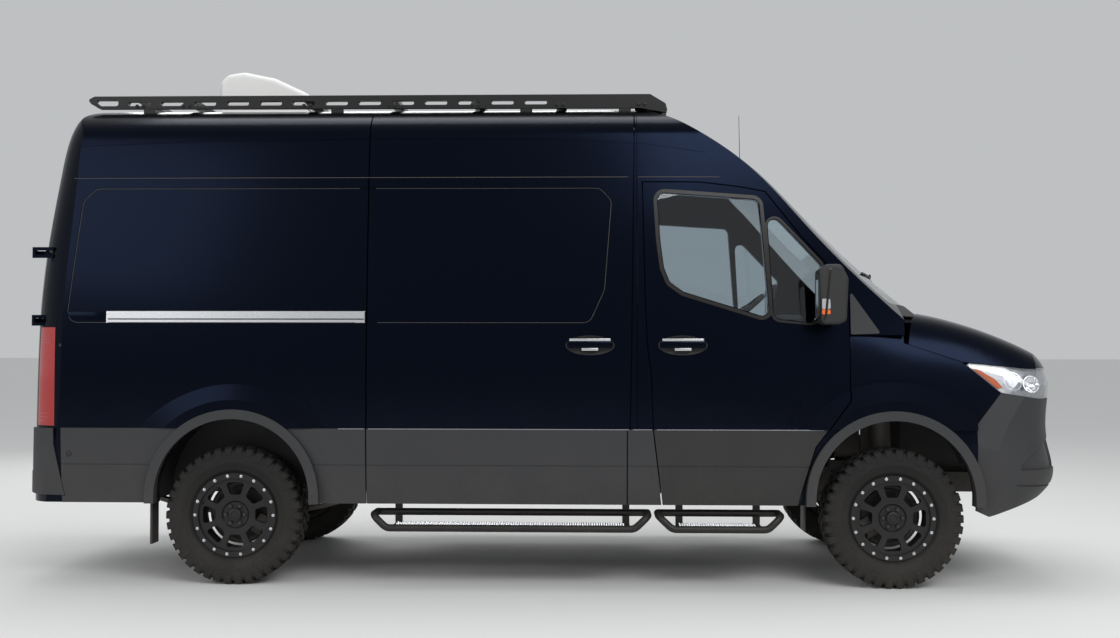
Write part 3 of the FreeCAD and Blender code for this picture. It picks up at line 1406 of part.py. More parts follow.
rack_y = 680.0
rack_plate = 34.0
rack_outline = ((-2679.0, 2769.0), (-2660.0, 2745.0), (-2610.0, 2716.0), (543.0, 2709.0), (704.0, 2680.0),
                (690.0, 2735.0), (601.0, 2789.0), (-2640.0, 2789.0))
rack_radius = 14.0
hoop_outline = ((-2648.0, 2766.0), (-2600.0, 2732.0), (-2500.0, 2732.0), (-2500.0, 2766.0))
hoop_radius = 12.0
slot_length = 130.0
slot_pitch = 193.0
slot_count = 13
slot_first_x = -2440.0
slot_low_z = 2732.0
slot_top_z = 2756.0
bar_places = (-2400.0, -2130.0, -1420.0, -930.0, -440.0, 50.0, 520.0)
bar_width = 60.0
bar_low_z = 2760.0
bar_top_z = 2786.0
bar_sunk = 10.0
foot_places = (-2350.0, -1250.0, -150.0, 420.0)
foot_length = 70.0
foot_thick = 26.0
foot_top_z = 2724.0
fairing_outline = ((560.0, 2781.0), (600.0, 2781.0), (686.0, 2728.0), (697.0, 2686.0), (693.0, 2686.0),
                   (682.0, 2725.0), (598.0, 2777.0), (560.0, 2777.0))


def roof_rack():
    """Slotted side plates with hooped rear ends, cross bars, feet and a bent plate across the front."""
    side_plate = prism_y(rack_outline, rack_y, rack_y + rack_plate, rack_radius)
    side_plate = side_plate.cut(prism_y(hoop_outline, 0.0, wide, hoop_radius))
    for i in range(slot_count):
        x = slot_first_x + slot_pitch * i
        slot = prism_y(((x, slot_low_z), (x + slot_length, slot_low_z), (x + slot_length, slot_top_z),
                        (x, slot_top_z)), 0.0, wide, rack_radius)
        side_plate = side_plate.cut(slot)
    pieces = [side_plate, mirror(side_plate)]
    for x in bar_places:
        pieces.append(box(x, x + bar_width, -rack_y - bar_sunk, rack_y + bar_sunk, bar_low_z, bar_top_z))
    pieces.append(prism_y(fairing_outline, -rack_y - bar_sunk, rack_y + bar_sunk))
    inner_y = rack_y + (rack_plate - foot_thick) / 2
    for x in foot_places:
        foot = box(x, x + foot_length, inner_y, inner_y + foot_thick, shoulder_z, foot_top_z)
        foot = foot.cut(body_tube(-fit_gap))
        pieces += [foot, mirror(foot)]
    return fuse(pieces).removeSplitter()


fan_rear_x = -2034.0
fan_front_x = -1474.0
fan_half_y = 280.0
fan_outline = ((-2034.0, 2798.0), (-2034.0, 2962.0), (-1980.0, 3010.0), (-1880.0, 3024.0), (-1690.0, 2985.0),
               (-1474.0, 2884.0), (-1474.0, 2798.0))
fan_radius = 60.0
fan_edge_radius = 34.0
fan_collar = 16.0
fan_flange = 24.0


def roof_fan():
    """Domed cover over the collar that passes through the roof rack."""
    dome = prism_y(fan_outline, -fan_half_y, fan_half_y, fan_radius)
    rims = [edge for edge in dome.Edges if edge.BoundBox.YLength < fit_gap]
    dome = dome.makeFillet(fan_edge_radius, rims)
    collar = box(fan_rear_x + fan_collar, fan_front_x - fan_collar, fan_collar - fan_half_y,
                 fan_half_y - fan_collar, shoulder_z, fan_outline[0][1] + fan_edge_radius)
    flange = box(fan_rear_x - fan_flange, fan_front_x + fan_flange, -fan_half_y - fan_flange,
                 fan_half_y + fan_flange, shoulder_z, roof_z + fan_collar / 2)
    return fuse([dome, collar, flange]).cut(body_tube(-fit_gap)).removeSplitter()


def tube_path(points, radius, bend):
    """Round tube along a path with bent corners."""
    edges = []
    last = points[0]
    for i in range(1, len(points) - 1):
        before = (points[i - 1] - points[i]).normalize()
        after = (points[i + 1] - points[i]).normalize()
        half = before.getAngle(after) / 2
        reach = bend / math.tan(half)
        middle = (before + after).normalize()
        centre = points[i] + middle * (bend / math.sin(half))
        a, b = points[i] + before * reach, points[i] + after * reach
        edges += [line(last, a), Part.Arc(a, centre - middle * bend, b).toShape()]
        last = b
    edges.append(line(last, points[-1]))
    path = Part.Wire(edges)
    start = points[0]
    circle = Part.Wire(Part.makeCircle(radius, start, points[1] - start))
    return path.makePipeShell([circle], True, True)


step_radius = 20.0
step_spans = ((-957.0, 598.0), (615.0, 1325.0))
step_top_z = 402.0
step_low_z = 333.0
step_inner_y = 880.0
step_outer_y = 1045.0
step_bend = 55.0
step_run = 95.0
tread_thick = 6.0
tread_hole_length = 60.0
tread_hole_width = 26.0
tread_hole_pitch = 92.0
tie_width = 40.0
tie_end = 120.0
tie_half_y = 10.0
bracket_inner_y = 360.0


def side_step(x0, x1):
    """Bent tube hoop with an inner tube, a holed tread and brackets up to the chassis rail."""
    rear, front = x0 + step_radius, x1 - step_radius
    low_y = step_outer_y + step_radius / 2
    hoop = tube_path([v(rear, step_inner_y, step_top_z), v(rear, step_outer_y, step_top_z),
                      v(x0 + step_run, low_y, step_low_z), v(x1 - step_run, low_y, step_low_z),
                      v(front, step_outer_y, step_top_z), v(front, step_inner_y, step_top_z)],
                     step_radius, step_bend)
    inner = rod(v(rear, step_inner_y, step_top_z), v(front, step_inner_y, step_top_z), step_radius)
    tread = box(x0 + tie_end, x1 - tie_end, step_inner_y - tie_half_y, low_y, step_low_z, step_low_z + tread_thick)
    rows = (step_inner_y + tread_hole_width, step_inner_y + tread_hole_width * 3)
    count = int((x1 - x0 - 2 * tie_end - tie_width * 3) / tread_hole_pitch)
    for i in range(count):
        x = x0 + tie_end + tie_width * 1.5 + tread_hole_pitch * i
        for y in rows:
            tread = tread.cut(box(x, x + tread_hole_length, y, y + tread_hole_width, 0.0, rail_low_z))
    bays = (x0 + tie_end, x1 - tie_end - tie_width)
    top_z = rail_low_z - fit_gap
    ties = [box(x, x + tie_width, step_inner_y - tie_half_y, step_inner_y + tie_half_y, step_low_z, top_z)
            for x in bays]
    brackets = [box(x, x + tie_width, bracket_inner_y, step_inner_y + tie_half_y, top_z - step_radius, top_z)
                for x in bays]
    return fuse([hoop, inner, tread] + ties + brackets).removeSplitter()


def side_steps():
    steps = [side_step(x0, x1) for x0, x1 in step_spans]
    return Part.makeCompound([solid for step in steps for solid in both_sides(step).Solids])


rail_proud = 6.0


def slide_rail(s):
    skin = body_tube(-rail_proud).cut(body_tube(press_depth - fit_gap))
    return skin.common(box(-2449.0, -992.0, -wide, 0.0, 1462.0, 1526.0))


def main():
    s = Surfaces()
    s.clad = cladding_ring(sill_z, clad_top_z)
    s.details = {side: side_details(side) for side in (-1, 1)}
    right = fuse([rear_quarter(s, -1), slide_surround(s), slide_flange(s)]).removeSplitter()
    save("right_side", right)
    save("left_side", rear_quarter(s, 1))
    save("roof", roof_panel(s))
    save("rear_frame", rear_frame(s))
    save("cab_frame", cab_frame(s))
    save("sliding_door", sliding_door(s))
    save("slide_rail", slide_rail(s))
    save("cladding", body_cladding(s))
    save("wings", wings(s))
    save("bonnet", bonnet(s))
    save("headlamps", headlamps(s))
    save("tail_lamps", tail_lamps(s))
    save("front_bumper", front_bumper(s))
    save("rear_bumper", rear_bumper(s))
    save("grille", grille(s))
    save("windscreen", windscreen(s))
    one_tyre = tyre()
    for side, name in ((-1, "right"), (1, "left")):
        save(name + "_front_door", front_door(s, side))
        save(name + "_front_glass", front_door_glass(s, side))
        save(name + "_front_trim", door_trim(s, side))
        save(name + "_rear_door", rear_door(s, side))
        save(name + "_rear_glass", rear_door_glass(s, side))
        save("front_" + name + "_knuckle", knuckle(side))
        for end, x in (("front", front_axle_x), ("rear", rear_axle_x)):
            save(end + "_" + name + "_tyre", one_tyre.translated(v(x, side * track_half, tyre_radius)))
            save(end + "_" + name + "_rim", rim(x, side * track_half, side))
    save("floor_and_frame", floor_and_frame(s))
    save("arch_liners", arch_liners(s))
    save("rear_axle", rear_axle())
    save("front_suspension", front_suspension())
    save("engine_block", engine_block().fuse(radiator()))
    save("underbody", underbody())
    save("steering_wheel", steering_wheel())
    save("dashboard", dashboard(s))
    save("seats", seats())
    save("roof_rack", roof_rack())
    save("roof_fan", roof_fan())
    save("side_steps", side_steps())


main()
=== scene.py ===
import math

import bmesh
import bpy
from mathutils import Matrix, Vector
from mathutils.bvhtree import BVHTree


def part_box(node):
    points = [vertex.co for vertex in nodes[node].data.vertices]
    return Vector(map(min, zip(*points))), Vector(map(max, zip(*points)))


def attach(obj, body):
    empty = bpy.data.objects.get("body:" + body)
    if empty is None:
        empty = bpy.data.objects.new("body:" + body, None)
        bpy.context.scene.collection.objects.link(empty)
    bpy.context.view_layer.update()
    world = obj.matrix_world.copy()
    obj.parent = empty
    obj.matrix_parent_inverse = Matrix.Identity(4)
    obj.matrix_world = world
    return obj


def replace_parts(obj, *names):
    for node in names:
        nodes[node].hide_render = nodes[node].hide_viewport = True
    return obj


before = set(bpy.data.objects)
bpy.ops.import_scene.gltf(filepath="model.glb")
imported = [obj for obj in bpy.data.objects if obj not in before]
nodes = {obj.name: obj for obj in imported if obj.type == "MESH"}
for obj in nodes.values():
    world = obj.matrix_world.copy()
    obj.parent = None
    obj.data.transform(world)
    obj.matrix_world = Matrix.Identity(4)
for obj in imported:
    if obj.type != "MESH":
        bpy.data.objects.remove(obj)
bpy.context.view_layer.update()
sides = (("left", 1), ("right", -1))
wheelPlaces = [(end, side, sign) for end in ("front", "rear") for side, sign in sides]
blackTrim = ("plastic", "body", "black_plastic")
cabTrim = ("cab", "body", "cab_grey")
ops = bmesh.ops
print("frame loaded")

# shared shader effects


def newGroup(name, inputs, outputs):
    group = bpy.data.node_groups.new(name, "ShaderNodeTree")
    for label, kind, value in inputs:
        socket = group.interface.new_socket(name=label, in_out="INPUT", socket_type="NodeSocket" + kind)
        socket.default_value = value
    for label, kind in outputs:
        group.interface.new_socket(name=label, in_out="OUTPUT", socket_type="NodeSocket" + kind)
    return group, group.nodes.new("NodeGroupInput"), group.nodes.new("NodeGroupOutput")


def addNode(tree, kind, values=None, **settings):
    node = tree.nodes.new("ShaderNode" + kind)
    for key, value in settings.items():
        setattr(node, key, value)
    for label, value in (values or {}).items():
        node.inputs[label].default_value = value
    return node


def linkNodes(tree, *links):
    for source, output, target, entry in links:
        tree.links.new(source.outputs[output], target.inputs[entry])


def grainGroup():
    group, start, end = newGroup("surfaceGrain", (
        ("Scale", "Float", 400.0), ("Low", "Float", 0.3), ("High", "Float", 0.6)),
        (("Height", "Float"), ("Rough", "Float")))
    place = addNode(group, "TexCoord")
    noise = addNode(group, "TexNoise", {"Detail": 4.0})
    spread = addNode(group, "MapRange")
    linkNodes(group, (place, "Object", noise, "Vector"), (start, "Scale", noise, "Scale"),
        (noise, "Fac", spread, "Value"), (start, "Low", spread, "To Min"),
        (start, "High", spread, "To Max"), (noise, "Fac", end, "Height"),
        (spread, "Result", end, "Rough"))
    return group


def dustGroup():
    # road dust that lies low on the van and in broad patches
    group, start, end = newGroup("roadDust", (
        ("Base", "Color", (0.02, 0.02, 0.02, 1)), ("Dust", "Color", (0.23, 0.2, 0.16, 1)),
        ("Top", "Float", 1.2), ("Amount", "Float", 0.25)), (("Color", "Color"),))
    place = addNode(group, "TexCoord")
    split = addNode(group, "SeparateXYZ")
    fall = addNode(group, "MapRange", {"From Max": 0.0}, interpolation_type="SMOOTHSTEP")
    patch = addNode(group, "TexNoise", {"Scale": 5.0, "Detail": 6.0})
    speck = addNode(group, "TexNoise", {"Scale": 90.0, "Detail": 3.0})
    both = addNode(group, "Math", operation="MULTIPLY")
    low = addNode(group, "Math", operation="MULTIPLY")
    much = addNode(group, "Math", operation="MULTIPLY", use_clamp=True)
    mix = addNode(group, "Mix", data_type="RGBA")
    linkNodes(group, (place, "Object", split, "Vector"), (place, "Object", patch, "Vector"),
        (place, "Object", speck, "Vector"), (split, "Z", fall, "Value"), (start, "Top", fall, "From Min"),
        (patch, "Fac", both, 0), (speck, "Fac", both, 1), (both, "Value", low, 0),
        (fall, "Result", low, 1), (low, "Value", much, 0), (start, "Amount", much, 1),
        (much, "Value", mix, "Factor"),
        (start, "Base", mix, "A"), (start, "Dust", mix, "B"), (mix, "Result", end, "Color"))
    return group


def weaveGroup():
    group, start, end = newGroup("clothWeave", (
        ("Scale", "Float", 700.0), ("Yarn", "Color", (0.06, 0.06, 0.065, 1)),
        ("Fleck", "Color", (0.11, 0.11, 0.12, 1))), (("Color", "Color"), ("Height", "Float")))
    place = addNode(group, "TexCoord")
    scaled = addNode(group, "VectorMath", operation="SCALE")
    warp = addNode(group, "TexWave", {"Scale": 1.0}, wave_type="BANDS", bands_direction="Y")
    weft = addNode(group, "TexWave", {"Scale": 1.0}, wave_type="BANDS", bands_direction="DIAGONAL")
    cross = addNode(group, "Math", operation="MULTIPLY")
    mottle = addNode(group, "TexNoise", {"Scale": 60.0})
    mix = addNode(group, "Mix", data_type="RGBA")
    linkNodes(group, (place, "Object", scaled, 0), (start, "Scale", scaled, "Scale"),
        (scaled, "Vector", warp, "Vector"), (scaled, "Vector", weft, "Vector"), (warp, "Fac", cross, 0),
        (weft, "Fac", cross, 1), (place, "Object", mottle, "Vector"), (mottle, "Fac", mix, "Factor"),
        (start, "Yarn", mix, "A"), (start, "Fleck", mix, "B"), (mix, "Result", end, "Color"),
        (cross, "Value", end, "Height"))
    return group


grain = grainGroup()
dust = dustGroup()
weave = weaveGroup()
print("shader effects built")

# finishes


def newMaterial(name, **sockets):
    material = bpy.data.materials.new(name)
    material.use_nodes = True
    shader = material.node_tree.nodes["Principled BSDF"]
    for label, value in sockets.items():
        shader.inputs[label.replace("_", " ")].default_value = value
    return material, material.node_tree, shader


def addBump(tree, shader, source, strength, distance):
    bump = addNode(tree, "Bump", {"Strength": strength, "Distance": distance})
    linkNodes(tree, (source, "Height", bump, "Height"), (bump, "Normal", shader, "Normal"))


def addDust(tree, shader, base, top, amount):
    node = addNode(tree, "Group", {"Base": (*base, 1), "Top": top, "Amount": amount}, node_tree=dust)
    linkNodes(tree, (node, "Color", shader, "Base Color"))


def dustyFinish(name, base, scale, low, high, strength, distance, top, amount, **sockets):
    # base colour, grain scale, range of roughness, bump strength and depth, height and amount of the dust
    material, tree, shader = newMaterial(name, **sockets)
    node = addNode(tree, "Group", {"Scale": scale, "Low": low, "High": high}, node_tree=grain)
    addBump(tree, shader, node, strength, distance)
    linkNodes(tree, (node, "Rough", shader, "Roughness"))
    addDust(tree, shader, base, top, amount)
    return material


def clearFinish(name, tint):
    material, tree, shader = newMaterial(name, Transmission_Weight=1.0, IOR=1.45, Roughness=0.0)
    addDust(tree, shader, tint, 1.4, 0.02)
    return material


def clothFinish(name, yarn, fleck):
    material, tree, shader = newMaterial(name, Roughness=0.92, Sheen_Weight=0.25)
    node = addNode(tree, "Group", {"Yarn": (*yarn, 1), "Fleck": (*fleck, 1)}, node_tree=weave)
    addBump(tree, shader, node, 0.4, 0.001)
    linkNodes(tree, (node, "Color", shader, "Base Color"))
    return material


finishes = {
    "paint": dustyFinish("blackPaint", (0.0012, 0.0014, 0.0026), 900.0, 0.16, 0.24, 0.02, 0.0004, 1.3, 0.1,
        Specular_IOR_Level=0.34, Specular_Tint=(0.13, 0.2, 0.42, 1)),
    "cladding": dustyFinish("texturedCladding", (0.021, 0.022, 0.025), 1400.0, 0.5, 0.7, 0.5, 0.0006,
        1.1, 0.35),
    "plastic": dustyFinish("blackPlastic", (0.01, 0.01, 0.011), 1600.0, 0.42, 0.6, 0.3, 0.0004, 1.2, 0.3),
    "rack": dustyFinish("powderCoat", (0.005, 0.005, 0.0055), 1200.0, 0.36, 0.5, 0.35, 0.0004, 1.0, 0.3,
        Specular_IOR_Level=0.35),
    "rubber": dustyFinish("tyreRubber", (0.009, 0.009, 0.009), 500.0, 0.66, 0.85, 0.35, 0.0008, 0.9, 0.3,
        Specular_IOR_Level=0.3),
    "wheel": dustyFinish("satinWheel", (0.006, 0.006, 0.007), 1300.0, 0.34, 0.48, 0.25, 0.0004, 0.9, 0.15,
        Specular_IOR_Level=0.35),
    "chassis": dustyFinish("chassisPaint", (0.03, 0.03, 0.03), 300.0, 0.6, 0.85, 0.5, 0.001, 1.0, 1.4),
    "iron": dustyFinish("castIron", (0.16, 0.15, 0.14), 260.0, 0.5, 0.8, 0.6, 0.0012, 0.9, 1.2, Metallic=0.8),
    "bright": dustyFinish("brightMetal", (0.62, 0.63, 0.65), 700.0, 0.22, 0.34, 0.15, 0.0003, 0.9, 0.2,
        Metallic=1.0),
    "white": dustyFinish("whiteDome", (0.78, 0.78, 0.76), 900.0, 0.28, 0.4, 0.2, 0.0004, 0.9, 0.1),
    "cab": dustyFinish("cabTrim", (0.05, 0.05, 0.053), 1500.0, 0.6, 0.75, 0.5, 0.0005, 0.9, 0.1),
    "glass": clearFinish("tintedGlass", (0.6, 0.67, 0.71)),
    "screen": clearFinish("clearGlass", (0.74, 0.8, 0.82)),
    "lens": clearFinish("lampLens", (0.96, 0.97, 0.98)),
    "frameBlack": dustyFinish("windowBand", (0.008, 0.006, 0.005), 1500.0, 0.24, 0.34, 0.1, 0.0003, 1.2, 0.1,
        Specular_IOR_Level=0.4),
    # light grey lines along the cladding's top edge: a painted highlight where its chamfer catches the light
    "paintedEdgeHighlight": dustyFinish("paintedHighlightLine", (0.2, 0.21, 0.23), 600.0, 0.16, 0.24, 0.05, 0.0003, 1.0, 0.1),
    # brownish grey, far lighter than the black paint: a painted highlight for the roof seam and the panel
    # creases
    "paintedHighlightBead": dustyFinish("panelCreaseHighlight", (0.05, 0.045, 0.045), 600.0, 0.2, 0.3, 0.05, 0.0003, 1.0, 0.1),
    "lampSilver": dustyFinish("lampHousing", (0.5, 0.51, 0.53), 300.0, 0.2, 0.32, 0.1, 0.0004, 0.9, 0.0,
        Metallic=0.75),
    "red": dustyFinish("redLens", (0.36, 0.008, 0.008), 40.0, 0.06, 0.1, 0.02, 0.001, 1.0, 0.2,
        Coat_Weight=1.0, Coat_Roughness=0.02),
    "amber": dustyFinish("amberLens", (0.78, 0.13, 0.008), 40.0, 0.06, 0.1, 0.02, 0.001, 1.0, 0.1,
        Coat_Weight=1.0, Coat_Roughness=0.02),
    "chrome": dustyFinish("lampChrome", (0.8, 0.81, 0.83), 60.0, 0.05, 0.1, 0.02, 0.001, 0.9, 0.0,
        Metallic=1.0),
    "lampBlack": dustyFinish("lampTray", (0.02, 0.02, 0.022), 800.0, 0.25, 0.35, 0.1, 0.0003, 0.9, 0.0),
    "cloth": clothFinish("seatCloth", (0.045, 0.045, 0.05), (0.1, 0.1, 0.11)),
}

nodeFinishes = {
    "paint": ("right_side", "left_side", "roof", "rear_frame", "cab_frame", "sliding_door", "wings", "bonnet",
        "left_front_door", "right_front_door", "left_rear_door", "right_rear_door"),
    "bright": ("slide_rail",),
    "cladding": ("cladding", "front_bumper", "rear_bumper"),
    "plastic": ("left_front_trim", "right_front_trim", "grille", "arch_liners"),
    "rack": ("roof_rack", "side_steps"),
    "chassis": ("floor_and_frame", "underbody", "engine_block"),
    "iron": ("rear_axle", "front_suspension", "front_left_knuckle", "front_right_knuckle"),
    "white": ("roof_fan",),
    "cab": ("dashboard", "steering_wheel", "seats"),
    "glass": ("left_front_glass", "right_front_glass", "left_rear_glass", "right_rear_glass"),
    "screen": ("windscreen",),
    "lens": ("headlamps",),
    "red": ("tail_lamps",),
    "rubber": tuple(f"{end}_{side}_tyre" for end, side, sign in wheelPlaces),
    "wheel": tuple(f"{end}_{side}_rim" for end, side, sign in wheelPlaces),
}
for finish, names in nodeFinishes.items():
    for name in names:
        mesh = nodes[name].data
        mesh.materials.clear()
        mesh.materials.append(finishes[finish])
print("finishes on", len(nodes), "nodes")

# light, floor and camera


def turned(deg, axis):
    return Matrix.Rotation(math.radians(deg), 4, axis)


def linkObject(name, data):
    made = bpy.data.objects.new(name, data)
    bpy.context.scene.collection.objects.link(made)
    return made


studio = {"floorSize": 400.0, "floorColor": (0.8, 0.8, 0.79), "worldColor": (0.86, 0.88, 0.9),
    "worldStrength": 0.6}


def makeStudio():
    bm = bmesh.new()
    ops.create_grid(bm, x_segments=4, y_segments=4, size=studio["floorSize"] / 2)
    mesh = bpy.data.meshes.new("floor")
    bm.to_mesh(mesh)
    bm.free()
    floor = linkObject("floor", mesh)
    material, tree, shader = newMaterial("paleFloor", Roughness=0.85)
    shader.inputs["Base Color"].default_value = (*studio["floorColor"], 1)
    mesh.materials.append(material)
    world = bpy.data.worlds.new("studio")
    world.use_nodes = True
    back = world.node_tree.nodes["Background"]
    back.inputs["Color"].default_value = (*studio["worldColor"], 1)
    back.inputs["Strength"].default_value = studio["worldStrength"]
    bpy.context.scene.world = world


lamps = {
    "key": {"place": (4.5, -9.5, 7.5), "aim": (0.2, -0.4, 1.2), "size": (8.0, 4.0), "power": 560.0},
    "fill": {"place": (-8.0, -9.0, 5.0), "aim": (-0.5, 0.0, 1.2), "size": (8.0, 4.0), "power": 260.0},
    "top": {"place": (0.0, 0.5, 7.5), "aim": (0.0, 0.0, 1.0), "size": (8.0, 3.0), "power": 170.0},
    "rim": {"place": (-2.5, 8.0, 5.0), "aim": (0.0, 0.0, 1.2), "size": (6.0, 3.0), "power": 220.0},
}


def makeLamps():
    for name, entry in lamps.items():
        data = bpy.data.lights.new(name, "AREA")
        data.shape = "RECTANGLE"
        data.size, data.size_y = entry["size"]
        data.energy = entry["power"]
        lamp = linkObject(name, data)
        lamp.location = entry["place"]
        lamp.rotation_euler = (Vector(entry["aim"]) - lamp.location).to_track_quat("-Z", "Y").to_euler()


photo = {"focalPixels": 1319.0, "widthPixels": 1120.0, "sensor": 36.0, "place": (0.321, -8.3, 1.312),
    "yawDeg": 1.8, "pitchDeg": 1.346, "rollDeg": 0.08}


def makeCamera():
    data = bpy.data.cameras.new("photoCamera")
    data.sensor_width = photo["sensor"]
    data.lens = photo["sensor"] * photo["focalPixels"] / photo["widthPixels"]
    data.clip_end = 200.0
    camera = linkObject("photoCamera", data)
    turn = turned(photo["yawDeg"], "Z") @ turned(90.0 + photo["pitchDeg"], "X") @ turned(photo["rollDeg"], "Z")
    camera.matrix_world = Matrix.Translation(photo["place"]) @ turn
    bpy.context.scene.camera = camera


makeStudio()
makeLamps()
makeCamera()
bpy.context.scene.view_settings.view_transform = "Standard"
print("studio ready")

# building helpers


def addPiece(name, bm, finish, body, slot, smoothDeg=35.0):
    mesh = bpy.data.meshes.new(name)
    ops.recalc_face_normals(bm, faces=bm.faces)
    bm.to_mesh(mesh)
    bm.free()
    mesh.materials.append(finishes[finish])
    mesh.shade_smooth()
    mesh.set_sharp_from_angle(angle=math.radians(smoothDeg))
    return placePiece(name, mesh, body)


def placePiece(name, data, body):
    piece = linkObject(name, data)
    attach(piece, body)
    return piece


def addTube(name, paths, radius, finish, body, slot, closed=False, rings=3):
    # round bead or rod along each path
    curve = bpy.data.curves.new(name, "CURVE")
    curve.dimensions = "3D"
    curve.bevel_depth = radius
    curve.bevel_resolution = rings
    curve.use_fill_caps = not closed
    for path in paths:
        spline = curve.splines.new("POLY")
        spline.points.add(len(path) - 1)
        for point, place in zip(spline.points, path):
            point.co = (*place, 1.0)
        spline.use_cyclic_u = closed
        spline.use_smooth = True
    curve.materials.append(finishes[finish])
    return placePiece(name, curve, body)


def vertsOf(geom):
    return [item for item in geom if isinstance(item, bmesh.types.BMVert)]


def allOf(bm):
    return [*bm.verts, *bm.edges, *bm.faces]


def thicken(bm, thickness):
    ops.solidify(bm, geom=allOf(bm), thickness=thickness)


def bevelEdges(bm, edges, offset, segments=2):
    return ops.bevel(bm, geom=edges, offset=offset, offset_type="OFFSET", segments=segments, profile=0.5,
        affect="EDGES", material=-1, clamp_overlap=True)


def joinPart(bm, part, matrix=None):
    if matrix is not None:
        part.transform(matrix)
    mesh = bpy.data.meshes.new("joining")
    part.to_mesh(mesh)
    part.free()
    bm.from_mesh(mesh)
    bpy.data.meshes.remove(mesh)


def aimed(place, direction, axis="Y", up="Z"):
    # places a form and turns its axis along a direction
    return Matrix.Translation(place) @ direction.to_track_quat(axis, up).to_matrix().to_4x4()


def addBlock(bm, low, high, bevel, segments=2, matrix=None):
    part = bmesh.new()
    ops.create_cube(part, size=1.0)
    ops.scale(part, verts=part.verts, vec=[b - a for a, b in zip(low, high)])
    ops.translate(part, verts=part.verts, vec=[(a + b) / 2 for a, b in zip(low, high)])
    bevelEdges(part, list(part.edges), bevel, segments)
    joinPart(bm, part, matrix)


def addBlocks(name, blocks, bevel, segments, finish, body, slot):
    bm = bmesh.new()
    for low, high in blocks:
        addBlock(bm, low, high, bevel, segments)
    addPiece(name, bm, finish, body, slot)


def addRod(bm, start, end, radius, endRadius=None, segments=20, bevel=0.0):
    start, end = Vector(start), Vector(end)
    along = end - start
    part = bmesh.new()
    ops.create_cone(part, cap_ends=True, segments=segments, radius1=radius,
        radius2=radius if endRadius is None else endRadius, depth=along.length)
    if bevel:
        rims = [edge for edge in part.edges if abs(edge.verts[0].co.z - edge.verts[1].co.z) < 1e-6]
        bevelEdges(part, rims, bevel)
    joinPart(bm, part, aimed((start + end) / 2, along, "Z", "Y"))


def addLathe(bm, profile, steps, matrix=None):
    # closed (along, radius) profile turned about the Y axis
    part = bmesh.new()
    verts = [part.verts.new((radius, along, 0.0)) for along, radius in profile]
    edges = [part.edges.new(pair) for pair in zip(verts, verts[1:])] + [part.edges.new((verts[-1], verts[0]))]
    ops.spin(part, geom=verts + edges, cent=(0, 0, 0), axis=(0, 1, 0), dvec=(0, 0, 0),
        angle=2 * math.pi, steps=steps, use_merge=True)
    ops.remove_doubles(part, verts=part.verts, dist=1e-6)
    ops.recalc_face_normals(part, faces=part.faces)
    joinPart(bm, part, matrix)


def pushedFace(part, points):
    # flat face, and the corners of its pushed-out copy
    face = part.faces.new([part.verts.new(point) for point in points])
    return vertsOf(ops.extrude_face_region(part, geom=[face])["geom"])


def addSlab(bm, points, push, bevel=0.0, segments=2):
    part = bmesh.new()
    ops.translate(part, verts=pushedFace(part, points), vec=push)
    if bevel:
        bevelEdges(part, list(part.edges), bevel, segments)
    ops.recalc_face_normals(part, faces=part.faces)
    joinPart(bm, part)


def repeatAround(bm, count):
    first = allOf(bm)
    for index in range(1, count):
        copies = ops.duplicate(bm, geom=first)["geom"]
        ops.rotate(bm, verts=vertsOf(copies), cent=(0, 0, 0),
            matrix=Matrix.Rotation(2 * math.pi * index / count, 3, "Y"))


def treeOf(mesh):
    return BVHTree.FromPolygons([vert.co for vert in mesh.vertices],
        [tuple(face.vertices) for face in mesh.polygons])


def skinOf(*names):
    return [treeOf(nodes[name].data) for name in names]


def skinPoint(trees, start, direction, proud=0.0):
    # nearest point that a ray meets, stood off towards the ray's start
    direction = Vector(direction)
    hits = [tree.ray_cast(Vector(start), direction) for tree in trees]
    hits = [hit for hit in hits if hit[0] is not None]
    return min(hits, key=lambda hit: hit[3])[0] - direction * proud if hits else None


def sidePoint(trees, x, z, sign, proud=0.0):
    return skinPoint(trees, (x, 3.0 * sign, z), (0, -sign, 0), proud)


def topPoint(trees, x, y, proud=0.0):
    return skinPoint(trees, (x, y, 4.0), (0, 0, -1), proud)


def addRound(name, profile, skin, steps, matrix, sign, finish, body, radius=1.0):
    # round form turned on the side skin, from a profile of (proud, share of the radius)
    bm = bmesh.new()
    addLathe(bm, [(skin + proud, radius * share) for proud, share in profile], steps, matrix)
    ops.scale(bm, verts=bm.verts, vec=(1, sign, 1))
    addPiece(name, bm, finish, body, "black_plastic")


def roundedLoop(points, radius, steps=6):
    # flat outline with rounded corners, as a list of 2-D points
    loop = []
    for index, here in enumerate(points):
        here = Vector(here)
        back = (Vector(points[index - 1]) - here).normalized()
        ahead = (Vector(points[(index + 1) % len(points)]) - here).normalized()
        half = back.angle(ahead) / 2
        centre = here + (back + ahead).normalized() * (radius / math.sin(half))
        start = here + back * (radius / math.tan(half)) - centre
        turn = (math.pi - 2 * half) * (1 if back.cross(ahead) < 0 else -1)
        loop += [centre + Matrix.Rotation(turn * step / steps, 2) @ start for step in range(steps + 1)]
    return loop


def grownLoop(points, gap):
    # flat outline moved outward
    count = len(points)
    area = sum(points[i - 1][0] * points[i][1] - points[i][0] * points[i - 1][1] for i in range(count))
    turn = 1 if area > 0 else -1
    grown = []
    for index, here in enumerate(points):
        here = Vector(here)
        before, after = Vector(points[index - 1]), Vector(points[(index + 1) % count])
        first, second = (here - before).normalized(), (after - here).normalized()
        outA, outB = Vector((first.y, -first.x)) * turn, Vector((second.y, -second.x)) * turn
        grown.append(here + (outA + outB) * (gap / (1 + outA.dot(outB))))
    return grown


# wheels

axleX = {end: sum(corner.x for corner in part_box(f"{end}_left_rim")) / 2 for end in ("front", "rear")}
wheelZ = sum(corner.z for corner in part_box("front_left_rim")) / 2
wheelY = 0.857

